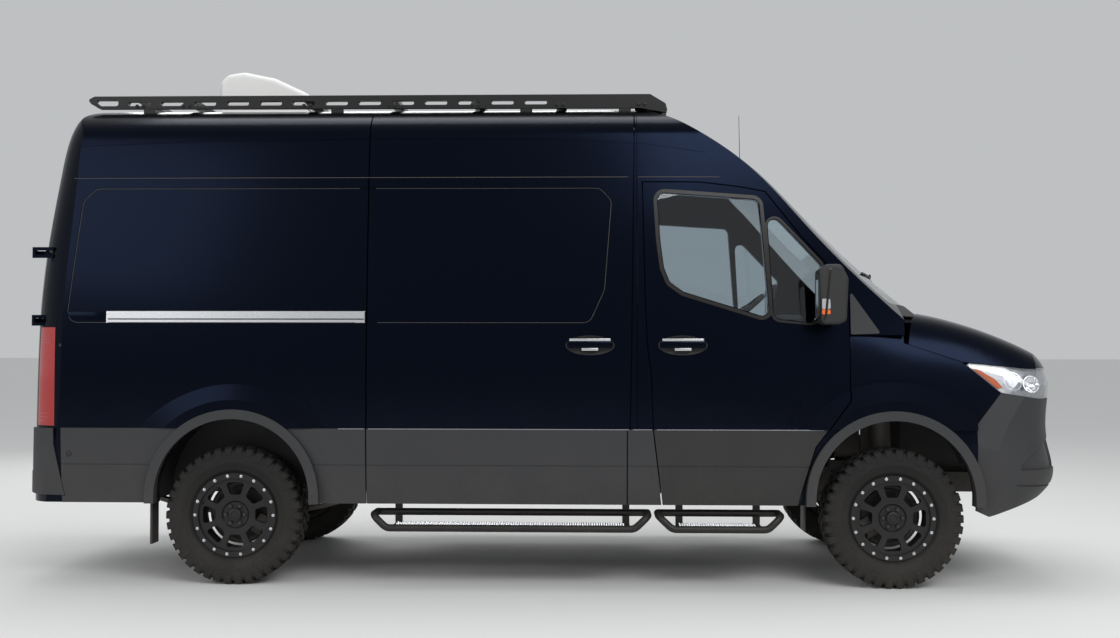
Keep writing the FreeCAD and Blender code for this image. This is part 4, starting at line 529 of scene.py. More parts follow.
tyre = {
    "lugs": 38, "lugTurnDeg": 3.05, "base": 0.3695, "crown": 0.385, "bevel": 0.0016,
    "carcass": ((0.0835, 0.2162), (0.0845, 0.238), (0.094, 0.2485), (0.0985, 0.2505), (0.1005, 0.254),
        (0.1035, 0.2545), (0.1055, 0.2575), (0.1062, 0.261), (0.1135, 0.272), (0.1195, 0.289),
        (0.1215, 0.2935), (0.1225, 0.297), (0.1222, 0.3), (0.1225, 0.318), (0.1205, 0.336),
        (0.1165, 0.351), (0.106, 0.3635), (0.085, 0.3695), (0.045, 0.3705)),
    "inner": ((0.1, 0.338), (0.069, 0.2162)),
    "longLug": ((0.056, 0.366), (0.054, 0.3846), (0.09, 0.3838), (0.1075, 0.3808), (0.1155, 0.372),
        (0.1205, 0.35), (0.1232, 0.331), (0.1236, 0.316), (0.1195, 0.313), (0.114, 0.335),
        (0.104, 0.352), (0.085, 0.364)),
    "shortLug": ((0.073, 0.366), (0.071, 0.3843), (0.092, 0.3835), (0.1065, 0.381), (0.1165, 0.3725),
        (0.1215, 0.352), (0.1232, 0.338), (0.1185, 0.335), (0.11, 0.348), (0.1, 0.358),
        (0.085, 0.364)),
    "block": ((-0.021, 0.004), (-0.012, 0.03), (0.006, 0.042), (0.022, 0.036), (0.016, 0.012), (0.0, -0.004)),
}


def softened(part):
    ops.recalc_face_normals(part, faces=part.faces)
    bevelEdges(part, list(part.edges), tyre["bevel"], 1)
    return part


def lugPart(section, halfTurn):
    # side section of a lug swept round a short arc
    part = bmesh.new()
    moved = pushedFace(part, [(radius, along, 0.0) for along, radius in section])
    for verts, turn in ((part.verts, -halfTurn), (moved, 2 * halfTurn)):
        ops.rotate(part, verts=verts, cent=(0, 0, 0), matrix=Matrix.Rotation(turn, 3, "Y"))
    return softened(part)


def blockPart(points):
    # tread block drawn as (along the tread, across it)
    part = bmesh.new()
    base, crown = tyre["base"] - 0.002, tyre["crown"]
    moved = pushedFace(part, [(base * math.cos(along / crown), across, base * math.sin(along / crown))
        for along, across in points])
    ops.scale(part, verts=moved, vec=(crown / base, 0.97, crown / base))
    return softened(part)


def tyrePart():
    pitch = 2 * math.pi / tyre["lugs"]
    halfTurn = math.radians(tyre["lugTurnDeg"])
    half = bmesh.new()
    for index, kind in enumerate(("longLug", "shortLug")):
        joinPart(half, lugPart(tyre[kind], halfTurn), Matrix.Rotation(pitch * index, 4, "Y"))
        joinPart(half, blockPart(tyre["block"]), Matrix.Rotation(pitch * (index + 0.5), 4, "Y"))
    repeatAround(half, tyre["lugs"] // 2)
    whole = half.copy()
    joinPart(whole, half, Matrix.Rotation(pitch * 0.5, 4, "Y") @ Matrix.Scale(-1, 4, (0, 1, 0)))
    outer = tyre["carcass"]
    profile = outer + tuple((-y, r) for y, r in outer[::-1]) + tuple((-y, r) for y, r in tyre["inner"][::-1])
    addLathe(whole, profile + tyre["inner"], 114)
    return whole


def wheelMatrix(end, sign):
    # local +Y is the wheel's outer face
    turn = Matrix.Rotation(0 if sign > 0 else math.pi, 4, "Z")
    return Matrix.Translation((axleX[end], wheelY * sign, wheelZ)) @ turn


bolts = {"count": 18, "ring": 0.2205, "face": 0.096, "seat": (-0.002, 0.0018), "washer": 0.0088, "head": 0.0068,
    "height": 0.0065}
lugNuts = {"count": 6, "ring": 0.0535, "face": 0.0595, "radius": 0.0105, "collar": 0.004, "foot": 0.002,
    "height": 0.021}
hubCap = {"profile": ((0.0835, 0.0), (0.0835, 0.019), (0.0865, 0.0215), (0.0865, 0.0285), (0.0835, 0.0335),
    (0.078, 0.0345), (0.078, 0.0)),
    "valve": ((0.176, 0.07, 0.062), (0.183, 0.098, 0.0645)),
    "grommet": ((0.1742, 0.064, 0.0614), (0.1762, 0.0722, 0.0621))}


def boltPart():
    bm = bmesh.new()
    face, ring, (low, top) = bolts["face"], bolts["ring"], bolts["seat"]
    addRod(bm, (ring, face + low, 0), (ring, face + top, 0), bolts["washer"], bevel=0.0005)
    addRod(bm, (ring, face, 0), (ring, face + bolts["height"], 0), bolts["head"], segments=6, bevel=0.0008)
    repeatAround(bm, bolts["count"])
    return bm


def nutPart():
    bm = bmesh.new()
    face, ring, radius = lugNuts["face"], lugNuts["ring"], lugNuts["radius"]
    addRod(bm, (ring, face, 0), (ring, face + lugNuts["collar"], 0), radius * 1.25, radius, segments=24)
    addRod(bm, (ring, face + lugNuts["foot"], 0), (ring, face + lugNuts["height"], 0), radius, radius * 0.92,
        segments=6, bevel=0.0016)
    repeatAround(bm, lugNuts["count"])
    return bm


def capPart():
    # hub cap with a shallow dish and a step, and the tyre valve
    bm = bmesh.new()
    addLathe(bm, hubCap["profile"], 48)
    addRod(bm, *hubCap["valve"], 0.0038, 0.0032, segments=12, bevel=0.0006)
    addRod(bm, *hubCap["grommet"], 0.0062, 0.0055, segments=12)
    return bm


wheelParts = (("Tread", tyrePart, "rubber", "tyre", 30.0), ("RingBolts", boltPart, "bright", "iron", 30.0),
    ("LugNuts", nutPart, "plastic", "rim_black", 30.0),
    ("HubCap", capPart, "wheel", "rim_black", 40.0))
for end, side, sign in wheelPlaces:
    for label, make, finish, slot, smoothDeg in wheelParts:
        bm = make()
        bm.transform(wheelMatrix(end, sign))
        piece = addPiece(f"{end}{side.title()}{label}", bm, finish, f"{end}_{side}_wheel", slot, smoothDeg)
        if label == "Tread":
            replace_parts(piece, f"{end}_{side}_tyre")
print("wheels dressed")

brakes = {"shield": ((-0.069, 0.09), (-0.069, 0.168), (-0.059, 0.176), (-0.059, 0.178), (-0.063, 0.178),
    (-0.073, 0.17), (-0.073, 0.09)),
    "pads": ((-0.091, -0.065), (-0.037, -0.023)), "padReach": (0.098, 0.171), "padHalf": 0.06,
    "bridgeReach": (0.153, 0.17), "bridgeHalf": 0.045, "turnDeg": (150.0, 30.0)}


def brakePart(turnDeg):
    # dust shield behind the disc, and a caliper that straddles its rim
    bm = bmesh.new()
    addLathe(bm, brakes["shield"], 72)
    turn = turned(turnDeg, "Y")
    low, high = brakes["padReach"]
    half = brakes["padHalf"]
    for inside, outside in brakes["pads"]:
        addBlock(bm, (low, inside, -half), (high, outside, half), 0.006, 3, turn)
    low, high = brakes["bridgeReach"]
    half = brakes["bridgeHalf"]
    addBlock(bm, (low, brakes["pads"][0][0], -half), (high, brakes["pads"][1][1], half), 0.005, 3, turn)
    return bm


for end, side, sign in wheelPlaces:
    bm = brakePart(brakes["turnDeg"][(end == "front") != (sign > 0)])
    bm.transform(wheelMatrix(end, sign))
    body = f"front_{side}_knuckle" if end == "front" else "body"
    addPiece(f"{end}{side.title()}Brake", bm, "iron", body, "iron")
print("brakes placed")

# doors and sides

doorSkins = {side: skinOf(f"{side}_front_door", f"{side}_front_trim") for side, sign in sides}
bodySkins = {"left": skinOf("left_side", "cladding", "cab_frame", "wings"),
    "right": skinOf("right_side", "sliding_door", "cladding", "cab_frame", "wings", "slide_rail")}
windows = {"main": ((0.632, 2.19), (0.648, 1.923), (0.668, 1.77), (0.7, 1.69), (0.775, 1.636), (1.251, 1.489),
    (1.196, 2.151)),
    "quarter": ((1.24, 2.106), (1.543, 1.786), (1.512, 1.465), (1.278, 1.487)), "radius": 0.038}
bands = {"inner": 0.0045, "outer": {"main": 0.024, "quarter": 0.017}, "proud": 0.0012, "step": 0.03,
    "thick": 0.0032, "cornerSteps": 6}


def windowBand(side, sign):
    # moulded band round each pane, laid on the door skin
    bm = bmesh.new()
    last = bands["cornerSteps"]
    for name, outer in bands["outer"].items():
        points, rings = windows[name], []
        counts = [max(1, int((Vector(here) - Vector(points[index - 1])).length / bands["step"]))
            for index, here in enumerate(points)]
        for gap in (bands["inner"], outer):
            loop = roundedLoop(grownLoop(points, gap), windows["radius"] + gap, last)
            dense = []
            for index, here in enumerate(loop):
                corner, place = divmod(index, last + 1)
                count = counts[(corner + 1) % len(counts)] if place == last else 1
                after = loop[(index + 1) % len(loop)]
                dense += [here.lerp(after, step / count) for step in range(count)]
            rings.append([sidePoint(doorSkins[side], x, z, sign, bands["proud"]) for x, z in dense])
        pairs = [(bm.verts.new(a), bm.verts.new(b)) if a and b else None for a, b in zip(*rings, strict=True)]
        for index, here in enumerate(pairs):
            before = pairs[index - 1]
            if here and before:
                bm.faces.new((before[0], before[1], here[1], here[0]))
    ops.recalc_face_normals(bm, faces=bm.faces)
    thicken(bm, bands["thick"])
    return bm


for side, sign in sides:
    addPiece(f"{side}WindowBands", windowBand(side, sign), "frameBlack", f"{side}_front_door", "black_plastic",
        50.0)

handles = {"z": 1.338, "cupReach": (0.135, 0.05), "cupStretch": (2.3, 1, 0.92, 1), "cupProud": 0.0005,
    "bars": (("Strip", "bright", "bright_rail", ((0.114, 0.022, 0.038), (0.046, -0.03, -0.014)), 0.007,
        0.005, 0.003, 3),
        ("Grip", "paint", "black_paint", ((0.126, -0.014, 0.023),), 0.0045, 0.009, 0.0085, 4)),
    "cup": ((-0.008, 0.0), (0.0006, 0.0), (0.0006, 0.052), (0.0022, 0.056), (0.0022, 0.059),
        (-0.012, 0.06)),
    "places": (("right", -1, 0.77, "right_front_door"), ("left", 1, 0.77, "left_front_door"),
        ("right", -1, 0.258, "body"))}


def handlePieces(index, side, sign, middle, body):
    # bright strips and the grip over them, and the dished cup behind
    skins = bodySkins[side] if body == "body" else doorSkins[side]
    z = handles["z"]
    reach = abs(sidePoint(skins, middle, z, sign).y)
    for name, finish, slot, bars, inset, deep, bevel, segments in handles["bars"]:
        y = sign * (reach - inset)
        blocks = [((middle - half, y - deep, z + low), (middle + half, y + deep, z + high))
            for half, low, high in bars]
        addBlocks(f"handle{name}{index}", blocks, bevel, segments, finish, body, slot)
    dx, dz = handles["cupReach"]
    skin = max(abs(sidePoint(skins, middle + x, z + rise, sign).y) for x in (-dx, dx) for rise in (-dz, dz))
    matrix = Matrix.Translation((middle, 0, z)) @ Matrix.Diagonal(handles["cupStretch"])
    addRound(f"handleCup{index}", handles["cup"], skin + handles["cupProud"], 48, matrix, sign, "plastic", body)


for index, entry in enumerate(handles["places"]):
    handlePieces(index, *entry)

# mirror glass in the rear face with a bezel, and the clear and amber lamps at the outer rear corner
mirrors = {"x": 1.4945, "glass": ((1.062, 1.492), (1.158, 1.492), (1.158, 1.735), (1.062, 1.735)),
    "deep": 0.0045, "lampX": (1.506, 1.549, 1.552), "lampY": 1.1758,
    "lamps": (("Clear", "chrome", 1.534, 1.59), ("Amber", "amber", 1.505, 1.533))}
for side, sign in sides:
    body = f"{side}_front_door"
    bm = bmesh.new()
    glass = [(mirrors["x"], sign * y, z) for y, z in roundedLoop(mirrors["glass"], 0.022)]
    addSlab(bm, glass, (-mirrors["deep"], 0, 0))
    addPiece(f"{side}MirrorGlass", bm, "chrome", body, "glass")
    bezel = roundedLoop(grownLoop(mirrors["glass"], 0.005), 0.026)
    bezel = [(mirrors["x"] - 0.002, sign * y, z) for y, z in bezel]
    addTube(f"{side}MirrorBezel", [bezel], 0.0048, "plastic", body, "black_plastic", closed=True)
    front, upper, lower = mirrors["lampX"]
    for name, finish, low, high in mirrors["lamps"]:
        bm = bmesh.new()
        outline = roundedLoop(((front, low), (lower, low + 0.002), (upper, high - 0.002), (front, high)), 0.007)
        outline = [(x, sign * mirrors["lampY"], z) for x, z in outline]
        addSlab(bm, outline, (0, sign * mirrors["deep"], 0), 0.0002, 1)
        addPiece(f"{side}MirrorLamp{name}", bm, finish, body, "clear_lamp")
print("doors dressed")

# lamps

headlamp = {"behind": (2.25, 0.35, 1.13), "facing": 0.3, "lens": 0.0025, "tray": 0.0015, "inset": 0.0065,
    "bowls": ((2.598, 1.143, 0.048), (2.7, 1.128, 0.044)),
    "bowl": ((0.0, 1.0), (-0.004, 0.94), (-0.014, 0.72), (-0.022, 0.35), (-0.0235, 0.0), (-0.0255, 0.0),
        (-0.024, 0.4), (-0.016, 0.76), (-0.006, 0.98)), "lip": 0.003,
    "bulb": ((-0.004, 0.0), (-0.0055, 0.009), (-0.012, 0.0125), (-0.0235, 0.0125), (-0.0235, 0.0)),
    "amber": ((2.372, 1.212), (2.41, 1.205), (2.5, 1.15), (2.535, 1.108), (2.51, 1.1)),
    "amberIn": 0.004, "amberThick": 0.003}


def lampFaces(sign, outward):
    # one headlamp's faces that look away from a point behind it, or all its others
    bm = bmesh.new()
    bm.from_mesh(nodes["headlamps"].data)
    x, y, z = headlamp["behind"]
    start = Vector((x, y * sign, z))
    drop = []
    for face in bm.faces:
        middle = face.calc_center_median()
        looks = face.normal.dot((middle - start).normalized()) > headlamp["facing"]
        if middle.y * sign < 0 or looks != outward:
            drop.append(face)
    ops.delete(bm, geom=drop, context="FACES")
    return bm


def clipToOutline(bm, points):
    # keeps what lies inside a convex side outline
    middle = Vector((sum(x for x, z in points) / len(points), 0, sum(z for x, z in points) / len(points)))
    for index, (x, z) in enumerate(points):
        before = points[index - 1]
        normal = Vector((z - before[1], 0, before[0] - x)).normalized()
        if normal.dot(middle - Vector((x, 0, z))) > 0:
            normal = -normal
        ops.bisect_plane(bm, geom=allOf(bm), dist=1e-6, plane_co=(x, 0, z), plane_no=normal,
            clear_outer=True)


def addLampPart(name, bm, finish, slot="clear_lamp"):
    return addPiece(name, bm, finish, "body", slot, 40.0)


for side, sign in sides:
    bm = lampFaces(sign, True)
    skin = BVHTree.FromBMesh(bm)
    thicken(bm, headlamp["lens"])
    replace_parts(addLampPart(f"{side}HeadlampLens", bm, "lens"), "headlamps")
    bm = lampFaces(sign, False)
    thicken(bm, headlamp["tray"])
    addLampPart(f"{side}HeadlampTray", bm, "lampSilver", "bright_rail")
    bm, inner = bmesh.new(), bmesh.new()
    for x, z, radius in headlamp["bowls"]:
        place, normal, index, distance = skin.ray_cast(Vector((x, 3.0 * sign, z)), Vector((0, -sign, 0)))
        turn = aimed(place - normal * headlamp["inset"], normal)
        bowl = [(along, radius * share) for along, share in headlamp["bowl"]]
        addLathe(bm, bowl + [(0.0, radius + headlamp["lip"])], 48, turn)
        addLathe(inner, headlamp["bulb"], 32, turn)
    addLampPart(f"{side}HeadlampBowls", bm, "chrome")
    addLampPart(f"{side}HeadlampBulbs", inner, "lens")
    bm = lampFaces(sign, True)
    clipToOutline(bm, headlamp["amber"])
    for vert in bm.verts:
        vert.co.y -= headlamp["amberIn"] * sign
    thicken(bm, headlamp["amberThick"])
    addLampPart(f"{side}HeadlampAmber", bm, "amber")

# grille, vents, wipers and antenna

wires = {"pitch": 0.018, "bar": 0.0032, "thick": 0.002,
    "areas": (("grilleMesh", (-0.53, 0.925), (0.53, 1.185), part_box("grille")[1].x - 0.05),
        ("ventMesh", (-0.43, 0.602), (0.43, 0.716), 2.905))}


def wireMesh(low, high, x):
    bm = bmesh.new()
    wide, tall = high[0] - low[0], high[1] - low[1]
    ops.create_grid(bm, x_segments=int(wide / wires["pitch"]), y_segments=int(tall / wires["pitch"]),
        size=0.5)
    ops.scale(bm, verts=bm.verts, vec=(wide, tall, 1))
    cells = list(bm.faces)
    ops.inset_individual(bm, faces=cells, thickness=wires["bar"], use_even_offset=True)
    ops.delete(bm, geom=cells, context="FACES_ONLY")
    thicken(bm, wires["thick"])
    bm.transform(Matrix(((0, 0, 1, x), (1, 0, 0, (low[0] + high[0]) / 2), (0, 1, 0, (low[1] + high[1]) / 2),
        (0, 0, 0, 1))))
    return bm


for name, low, high, x in wires["areas"]:
    addPiece(name, wireMesh(low, high, x), *blackTrim)

screenSkin = skinOf("windscreen")
wiperSkin = skinOf("windscreen", "cladding", "bonnet")
wipers = {"pivots": (0.66, 0.02), "reach": 0.66, "pivotX": 2.078, "bladeX": 1.985, "rake": 0.06, "bow": 0.2,
    "halfScreen": 0.9, "blade": 0.0065, "armEnd": 0.55, "steps": 14}


def wiperParts(y):
    arm, blade = [], []
    for step in range(wipers["steps"] + 1):
        share = step / wipers["steps"]
        across = y - wipers["reach"] * share
        x = wipers["bladeX"] - wipers["rake"] * share - wipers["bow"] * (across / wipers["halfScreen"]) ** 2
        place = topPoint(screenSkin, x, across, 0.009)
        if place is not None:
            blade.append(place)
            if share <= wipers["armEnd"]:
                arm.append(place + Vector((0.004, 0, 0.016)))
    pivot = topPoint(wiperSkin, wipers["pivotX"] - wipers["bow"] * (y / wipers["halfScreen"]) ** 2, y, 0.012)
    return [pivot, pivot + Vector((-0.02, -0.03, 0.02))] + arm[2:], blade


wiperLines = [wiperParts(y) for y in wipers["pivots"]]
for name, lines in zip(("wiperArms", "wiperBlades"), zip(*wiperLines)):
    addTube(name, lines, wipers["blade"], *blackTrim)
bm = bmesh.new()
for arm, blade in wiperLines:
    addRod(bm, arm[0] + Vector((0, 0, -0.02)), arm[0] + Vector((0, 0, 0.014)), 0.019, 0.014, bevel=0.003)
addPiece("wiperPivots", bm, *blackTrim)

antenna = {"place": (1.227, 0.30), "top": 2.84, "rods": (((0, -0.01), (0, 0.012), 0.022, 0.014, 0.002),
    ((0, 0), (-0.004, 0.034), 0.009, 0.006, 0.001))}
foot = topPoint(skinOf("roof", "cab_frame"), *antenna["place"])
bm = bmesh.new()
for (x0, z0), (x1, z1), radius, endRadius, bevel in antenna["rods"]:
    addRod(bm, foot + Vector((x0, 0, z0)), foot + Vector((x1, 0, z1)), radius, endRadius, bevel=bevel)
tip = (foot.x - 0.012, foot.y, antenna["top"])
addRod(bm, foot + Vector((-0.004, 0, 0.03)), tip, 0.0026, 0.0016, segments=10)
addPiece("antenna", bm, *blackTrim)
print("lamps, grille and screen dressed")

# seats

seat = {"places": (("left", 0.43), ("right", -0.43)), "voxel": 0.009, "frames": 20, "pressure": 4.0,
    "base": ((0.615, -0.205, 0.6365), (0.955, 0.205, 0.93)),
    "pan": ((0.585, -0.235, 0.9), (1.005, 0.235, 0.954)), "knob": (0.6, -0.245, -0.215, 1.02, 0.034),
    "posts": ((-0.055, 0.055), (0.505, 1.68), (0.488, 1.79), 0.006), "cornerSteps": 4, "pipingSteps": 72,
    "piping": 0.0028}
pads = {
    "Cushion": {"outline": ((0.572, 0.958), (1.068, 0.974), (1.073, 1.068), (0.572, 1.05)), "half": 0.236,
        "round": 0.034, "cap": 0.012, "seams": (-0.128, 0.128), "fill": 0.7},
    "Back": {"outline": ((0.556, 1.068), (0.678, 1.072), (0.552, 1.706), (0.464, 1.706)), "half": 0.226,
        "round": 0.034, "cap": 0.012, "seams": (-0.12, 0.12), "fill": 0.7},
    "Headrest": {"outline": ((0.45, 1.752), (0.53, 1.752), (0.51, 1.908), (0.44, 1.908)), "half": 0.118,
        "round": 0.026, "cap": 0.009, "seams": (), "fill": 0.8},
}


def evaluatedMesh(obj):
    return bpy.data.meshes.new_from_object(obj.evaluated_get(bpy.context.evaluated_depsgraph_get()))


def padMesh(name, entry):
    # remeshed pad that cloth pressure swells between its sewn lines
    half, corner, cap = entry["half"], entry["round"], entry["cap"]
    voxel, frames = seat["voxel"], seat["frames"]
    bm = bmesh.new()
    points = [(x, -half, z) for x, z in roundedLoop(entry["outline"], corner, seat["cornerSteps"])]
    addSlab(bm, points, (0, 2 * half, 0))
    ends = [edge for edge in bm.edges if abs(edge.verts[0].co.y - edge.verts[1].co.y) < 1e-6]
    bevelEdges(bm, ends, corner * 0.7, 3)
    mesh = bpy.data.meshes.new(name + "Start")
    bm.to_mesh(mesh)
    bm.free()
    obj = linkObject(name + "Start", mesh)
    remesh = obj.modifiers.new("remesh", "REMESH")
    remesh.mode = "VOXEL"
    remesh.voxel_size = voxel
    start = evaluatedMesh(obj)
    obj.modifiers.clear()
    obj.data = start
    sewn = obj.vertex_groups.new(name="sewn")
    for vert in start.vertices:
        near = min((abs(vert.co.y - seam) for seam in entry["seams"]), default=1.0)
        rim = half - abs(vert.co.y)
        if near < voxel * 0.75 or abs(rim - corner * 0.5) < voxel * 0.6:
            sewn.add([vert.index], 1.0, "REPLACE")
    cloth = obj.modifiers.new("cloth", "CLOTH")
    cloth.settings.use_pressure = True
    cloth.settings.uniform_pressure_force = seat["pressure"]
    cloth.settings.effector_weights.gravity = 0.0
    cloth.settings.vertex_group_mass = "sewn"
    cloth.point_cache.frame_start = 1
    cloth.point_cache.frame_end = frames
    for step in range(1, frames + 1):
        bpy.context.scene.frame_set(step)
    swollen = evaluatedMesh(obj)
    for vert, grown in zip(start.vertices, swollen.vertices):
        move = grown.co - vert.co
        vert.co += move * min(1.0, cap / max(move.length, cap))
    bpy.data.meshes.remove(swollen)
    bpy.context.scene.frame_set(1)
    bpy.data.objects.remove(obj)
    return start


def seatBase(side, y):
    bm = bmesh.new()
    for key, bevel in (("base", 0.012), ("pan", 0.014)):
        addBlock(bm, *(Vector(corner) + Vector((0, y, 0)) for corner in seat[key]), bevel, 3)
    x, low, high, z, radius = seat["knob"]
    addRod(bm, (x, y + low, z), (x, y + high, z), radius, bevel=0.004)
    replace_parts(addPiece(f"{side}SeatBase", bm, *cabTrim), "seats")
    bm = bmesh.new()
    offsets, (x0, z0), (x1, z1), radius = seat["posts"]
    for offset in offsets:
        addRod(bm, (x0, y + offset, z0), (x1, y + offset, z1), radius, segments=12)
    addPiece(f"{side}HeadrestPosts", bm, "bright", "body", "iron")


def pipingLine(tree, middle, y):
    # loop where the pad's skin meets a plane across it
    line = []
    for step in range(seat["pipingSteps"]):
        angle = 2 * math.pi * step / seat["pipingSteps"]
        ray = Vector((math.cos(angle), 0, math.sin(angle)))
        place = tree.ray_cast(Vector((middle[0], y, middle[1])), ray)[0]
        if place is not None:
            line.append(place + ray * 0.0004)
    return line


padMeshes = {name: padMesh(name, entry) for name, entry in pads.items()}
for side, y in seat["places"]:
    seatBase(side, y)
    for name, entry in pads.items():
        mesh = padMeshes[name].copy()
        mesh.transform(Matrix.Translation((0, y, 0)))
        mesh.materials.clear()
        mesh.materials.append(finishes["cloth"])
        mesh.shade_smooth()
        pad = placePiece(f"{side}Seat{name}", mesh, "body")
        finer = pad.modifiers.new("finer", "SUBSURF")
        finer.levels = finer.render_levels = 1
        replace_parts(pad, "seats")
        if entry["seams"]:
            tree = treeOf(mesh)
            loop = roundedLoop(entry["outline"], entry["round"], seat["cornerSteps"])
            middle = [sum(point[axis] for point in loop) / len(loop) for axis in range(2)]
            lines = [pipingLine(tree, middle, y + seam) for seam in entry["seams"]]
            addTube(f"{side}Seat{name}Piping", lines, seat["piping"], "plastic", "body", "seat_cloth",
                closed=True, rings=2)
print("seats padded")

# cab

cab = {"blocks": (("instrumentHood", (1.44, 0.22, 1.43), (1.62, 0.58, 1.54), 0.03, 4, "cab"),
    ("instrumentFace", (1.436, 0.255, 1.452), (1.444, 0.545, 1.522), 0.003, 2, "lampBlack"),
    ("centreScreen", (1.37, -0.135, 1.345), (1.42, 0.125, 1.50), 0.008, 3, "lampBlack")),
    "vents": (-0.74, -0.2, 0.16, 0.74), "ventStart": (0.9, 1.395), "ventTiltDeg": 8, "ventRadius": 0.034,
    "ventRing": ((-0.012, 0.034), (0.006, 0.034), (0.0085, 0.037), (0.0085, 0.041), (0.004, 0.0435),
        (-0.012, 0.0435)),
    "bladePitch": 0.012, "blade": (0.004, 0.0014), "wheelTiltDeg": 40, "wheelPlace": (1.23, 0.4, 1.545),
    "wheelPad": ((-0.004, 0.0), (-0.004, 0.078), (0.012, 0.086), (0.022, 0.08), (0.03, 0.055), (0.033, 0.0)),
    "lever": ((1.4, 0.13, 1.26), (1.3, 0.13, 1.33)), "knob": (1.292, 0.13, 1.336), "knobRadius": 0.024,
    "stalk": ((1.275, 0.03, 1.505), (1.28, 0.16, 1.525))}
for name, low, high, bevel, segments, finish in cab["blocks"]:
    addBlocks(name, [(low, high)], bevel, segments, finish, "body", "cab_grey")
dashSkin = skinOf("dashboard")
bm, blades = bmesh.new(), bmesh.new()
for y in cab["vents"]:
    x, z = cab["ventStart"]
    place = skinPoint(dashSkin, (x, y, z), (1, 0, 0))
    turn = Matrix.Translation(place) @ turned(90, "Z") @ turned(cab["ventTiltDeg"], "X")
    addLathe(bm, cab["ventRing"], 40, turn)
    deep, half = cab["blade"]
    for step in range(-2, 3):
        rise = step * cab["bladePitch"]
        reach = math.sqrt(cab["ventRadius"] ** 2 - rise ** 2)
        addBlock(blades, (-reach, -deep, rise - half), (reach, deep, rise + half), 0.0005, 1, turn)
addPiece("ventRings", bm, "bright", "body", "cab_grey")
addPiece("ventBlades", blades, *cabTrim)
bm = bmesh.new()
tilt = math.radians(cab["wheelTiltDeg"])
addLathe(bm, cab["wheelPad"], 48, aimed(cab["wheelPlace"], Vector((-math.sin(tilt), 0, math.cos(tilt)))))
addPiece("steeringPad", bm, "cab", "steering_wheel", "cab_grey")
bm = bmesh.new()
addRod(bm, *cab["lever"], 0.011, 0.008, bevel=0.002)
ops.create_uvsphere(bm, u_segments=20, v_segments=12, radius=cab["knobRadius"],
    matrix=Matrix.Translation(cab["knob"]))
addPiece("gearLever", bm, *cabTrim)
for sign, label in ((1, "Left"), (-1, "Right")):
    bm = bmesh.new()
    ends = [(x, cab["wheelPlace"][1] + sign * y, z) for x, y, z in cab["stalk"]]
    addRod(bm, *ends, 0.007, 0.009, bevel=0.002)
    addPiece(f"columnStalk{label}", bm, *cabTrim)
print("cab dressed")

# steps, rack, fan, sides and rear

steps = {"spans": ((-0.837, 0.478), (0.735, 1.205)), "ends": (0.02, 0.03), "rows": 4, "y": 0.909,
    "rowPitch": 0.026, "z": 0.339, "pitch": 0.0265,
    "stud": ((-0.001, 0.0055), (0.011, 0.004), (0.011, 0.0055), (-0.001, 0.0095))}
for side, sign in sides:
    bm = bmesh.new()
    start, spare = steps["ends"]
    for low, high in steps["spans"]:
        for row in range(steps["rows"]):
            for index in range(int((high - low - spare) / steps["pitch"])):
                x = low + start + (index + (row % 2) / 2) * steps["pitch"]
                place = Matrix.Translation((x, sign * (steps["y"] + row * steps["rowPitch"]), steps["z"]))
                addLathe(bm, steps["stud"], 8, place @ turned(90, "X"))
    addPiece(f"{side}StepGrip", bm, "bright", "body", "rack_black", 50.0)
print("step grips placed")

rackSkin = skinOf("roof_rack")
rack = {"bars": (-2.37, -2.1, -1.39, -0.9, -0.41, 0.08, 0.55), "pair": 0.018, "z": 2.73, "bolt": 0.0075,
    "washer": (-0.002, 0.003), "head": 0.007}
bm = bmesh.new()
for sign in (1, -1):
    for x in rack["bars"]:
        for dx in (-rack["pair"], rack["pair"]):
            low, washer, head = (sidePoint(rackSkin, x + dx, rack["z"], sign, proud)
                for proud in (*rack["washer"], rack["head"]))
            place = sidePoint(rackSkin, x + dx, rack["z"], sign)
            if place is not None:
                addRod(bm, low, washer, rack["bolt"] * 1.5, bevel=0.0006)
                addRod(bm, place, head, rack["bolt"], segments=6, bevel=0.0008)
addPiece("rackBolts", bm, "rack", "body", "rack_black")

fanSkin = skinOf("roof_fan")
fan = {"middle": (-1.78, 0.0), "seamLevels": (2.795, 2.868), "ringSteps": 120, "vents": 9, "ventPitch": 0.042,
    "ventLevels": (2.822, 2.842), "ventHalf": 0.014, "ventTall": 0.01, "rearX": -1.3}


def fanRing(z):
    ring = []
    for step in range(fan["ringSteps"]):
        angle = 2 * math.pi * step / fan["ringSteps"]
        ray = Vector((math.cos(angle), math.sin(angle), 0))
        ring.append(skinPoint(fanSkin, Vector((*fan["middle"], z)) + ray * 2.0, -ray))
    return [place for place in ring if place is not None]


addTube("fanSeams", [fanRing(z) for z in fan["seamLevels"]], 0.003, "plastic", "body", "white_plastic",
    closed=True)
blocks, half = [], fan["ventHalf"]
for index in range(fan["vents"]):
    y = (index - (fan["vents"] - 1) / 2) * fan["ventPitch"]
    place = skinPoint(fanSkin, (-4.0, y, 2.83), (1, 0, 0))
    if place is not None and place.x < fan["rearX"]:
        blocks += [((place.x - 0.003, y - half, z), (place.x + 0.004, y + half, z + fan["ventTall"]))
            for z in fan["ventLevels"]]
addBlocks("fanVents", blocks, 0.002, 2, *blackTrim)
print("roof dressed")

fittings = {"cap": (-2.71, 1.336, 0.0105), "sensor": (-2.655, 0.731, 0.0165)}
fittingProfile = ((-0.004, 0.0), (0.0018, 0.0), (0.0024, 0.62), (0.0004, 0.7), (0.0004, 0.82), (0.0026, 0.88),
    (0.0014, 1.0), (-0.004, 1.0))
for side, sign in sides:
    skins = skinOf(f"{side}_side", "cladding", "rear_frame", "rear_bumper")
    for name, (x, z, radius) in fittings.items():
        addRound(f"{side}{name.title()}Fitting", fittingProfile, abs(sidePoint(skins, x, z, sign).y), 36,
            Matrix.Translation((x, 0, z)), sign, "plastic", "body", radius)

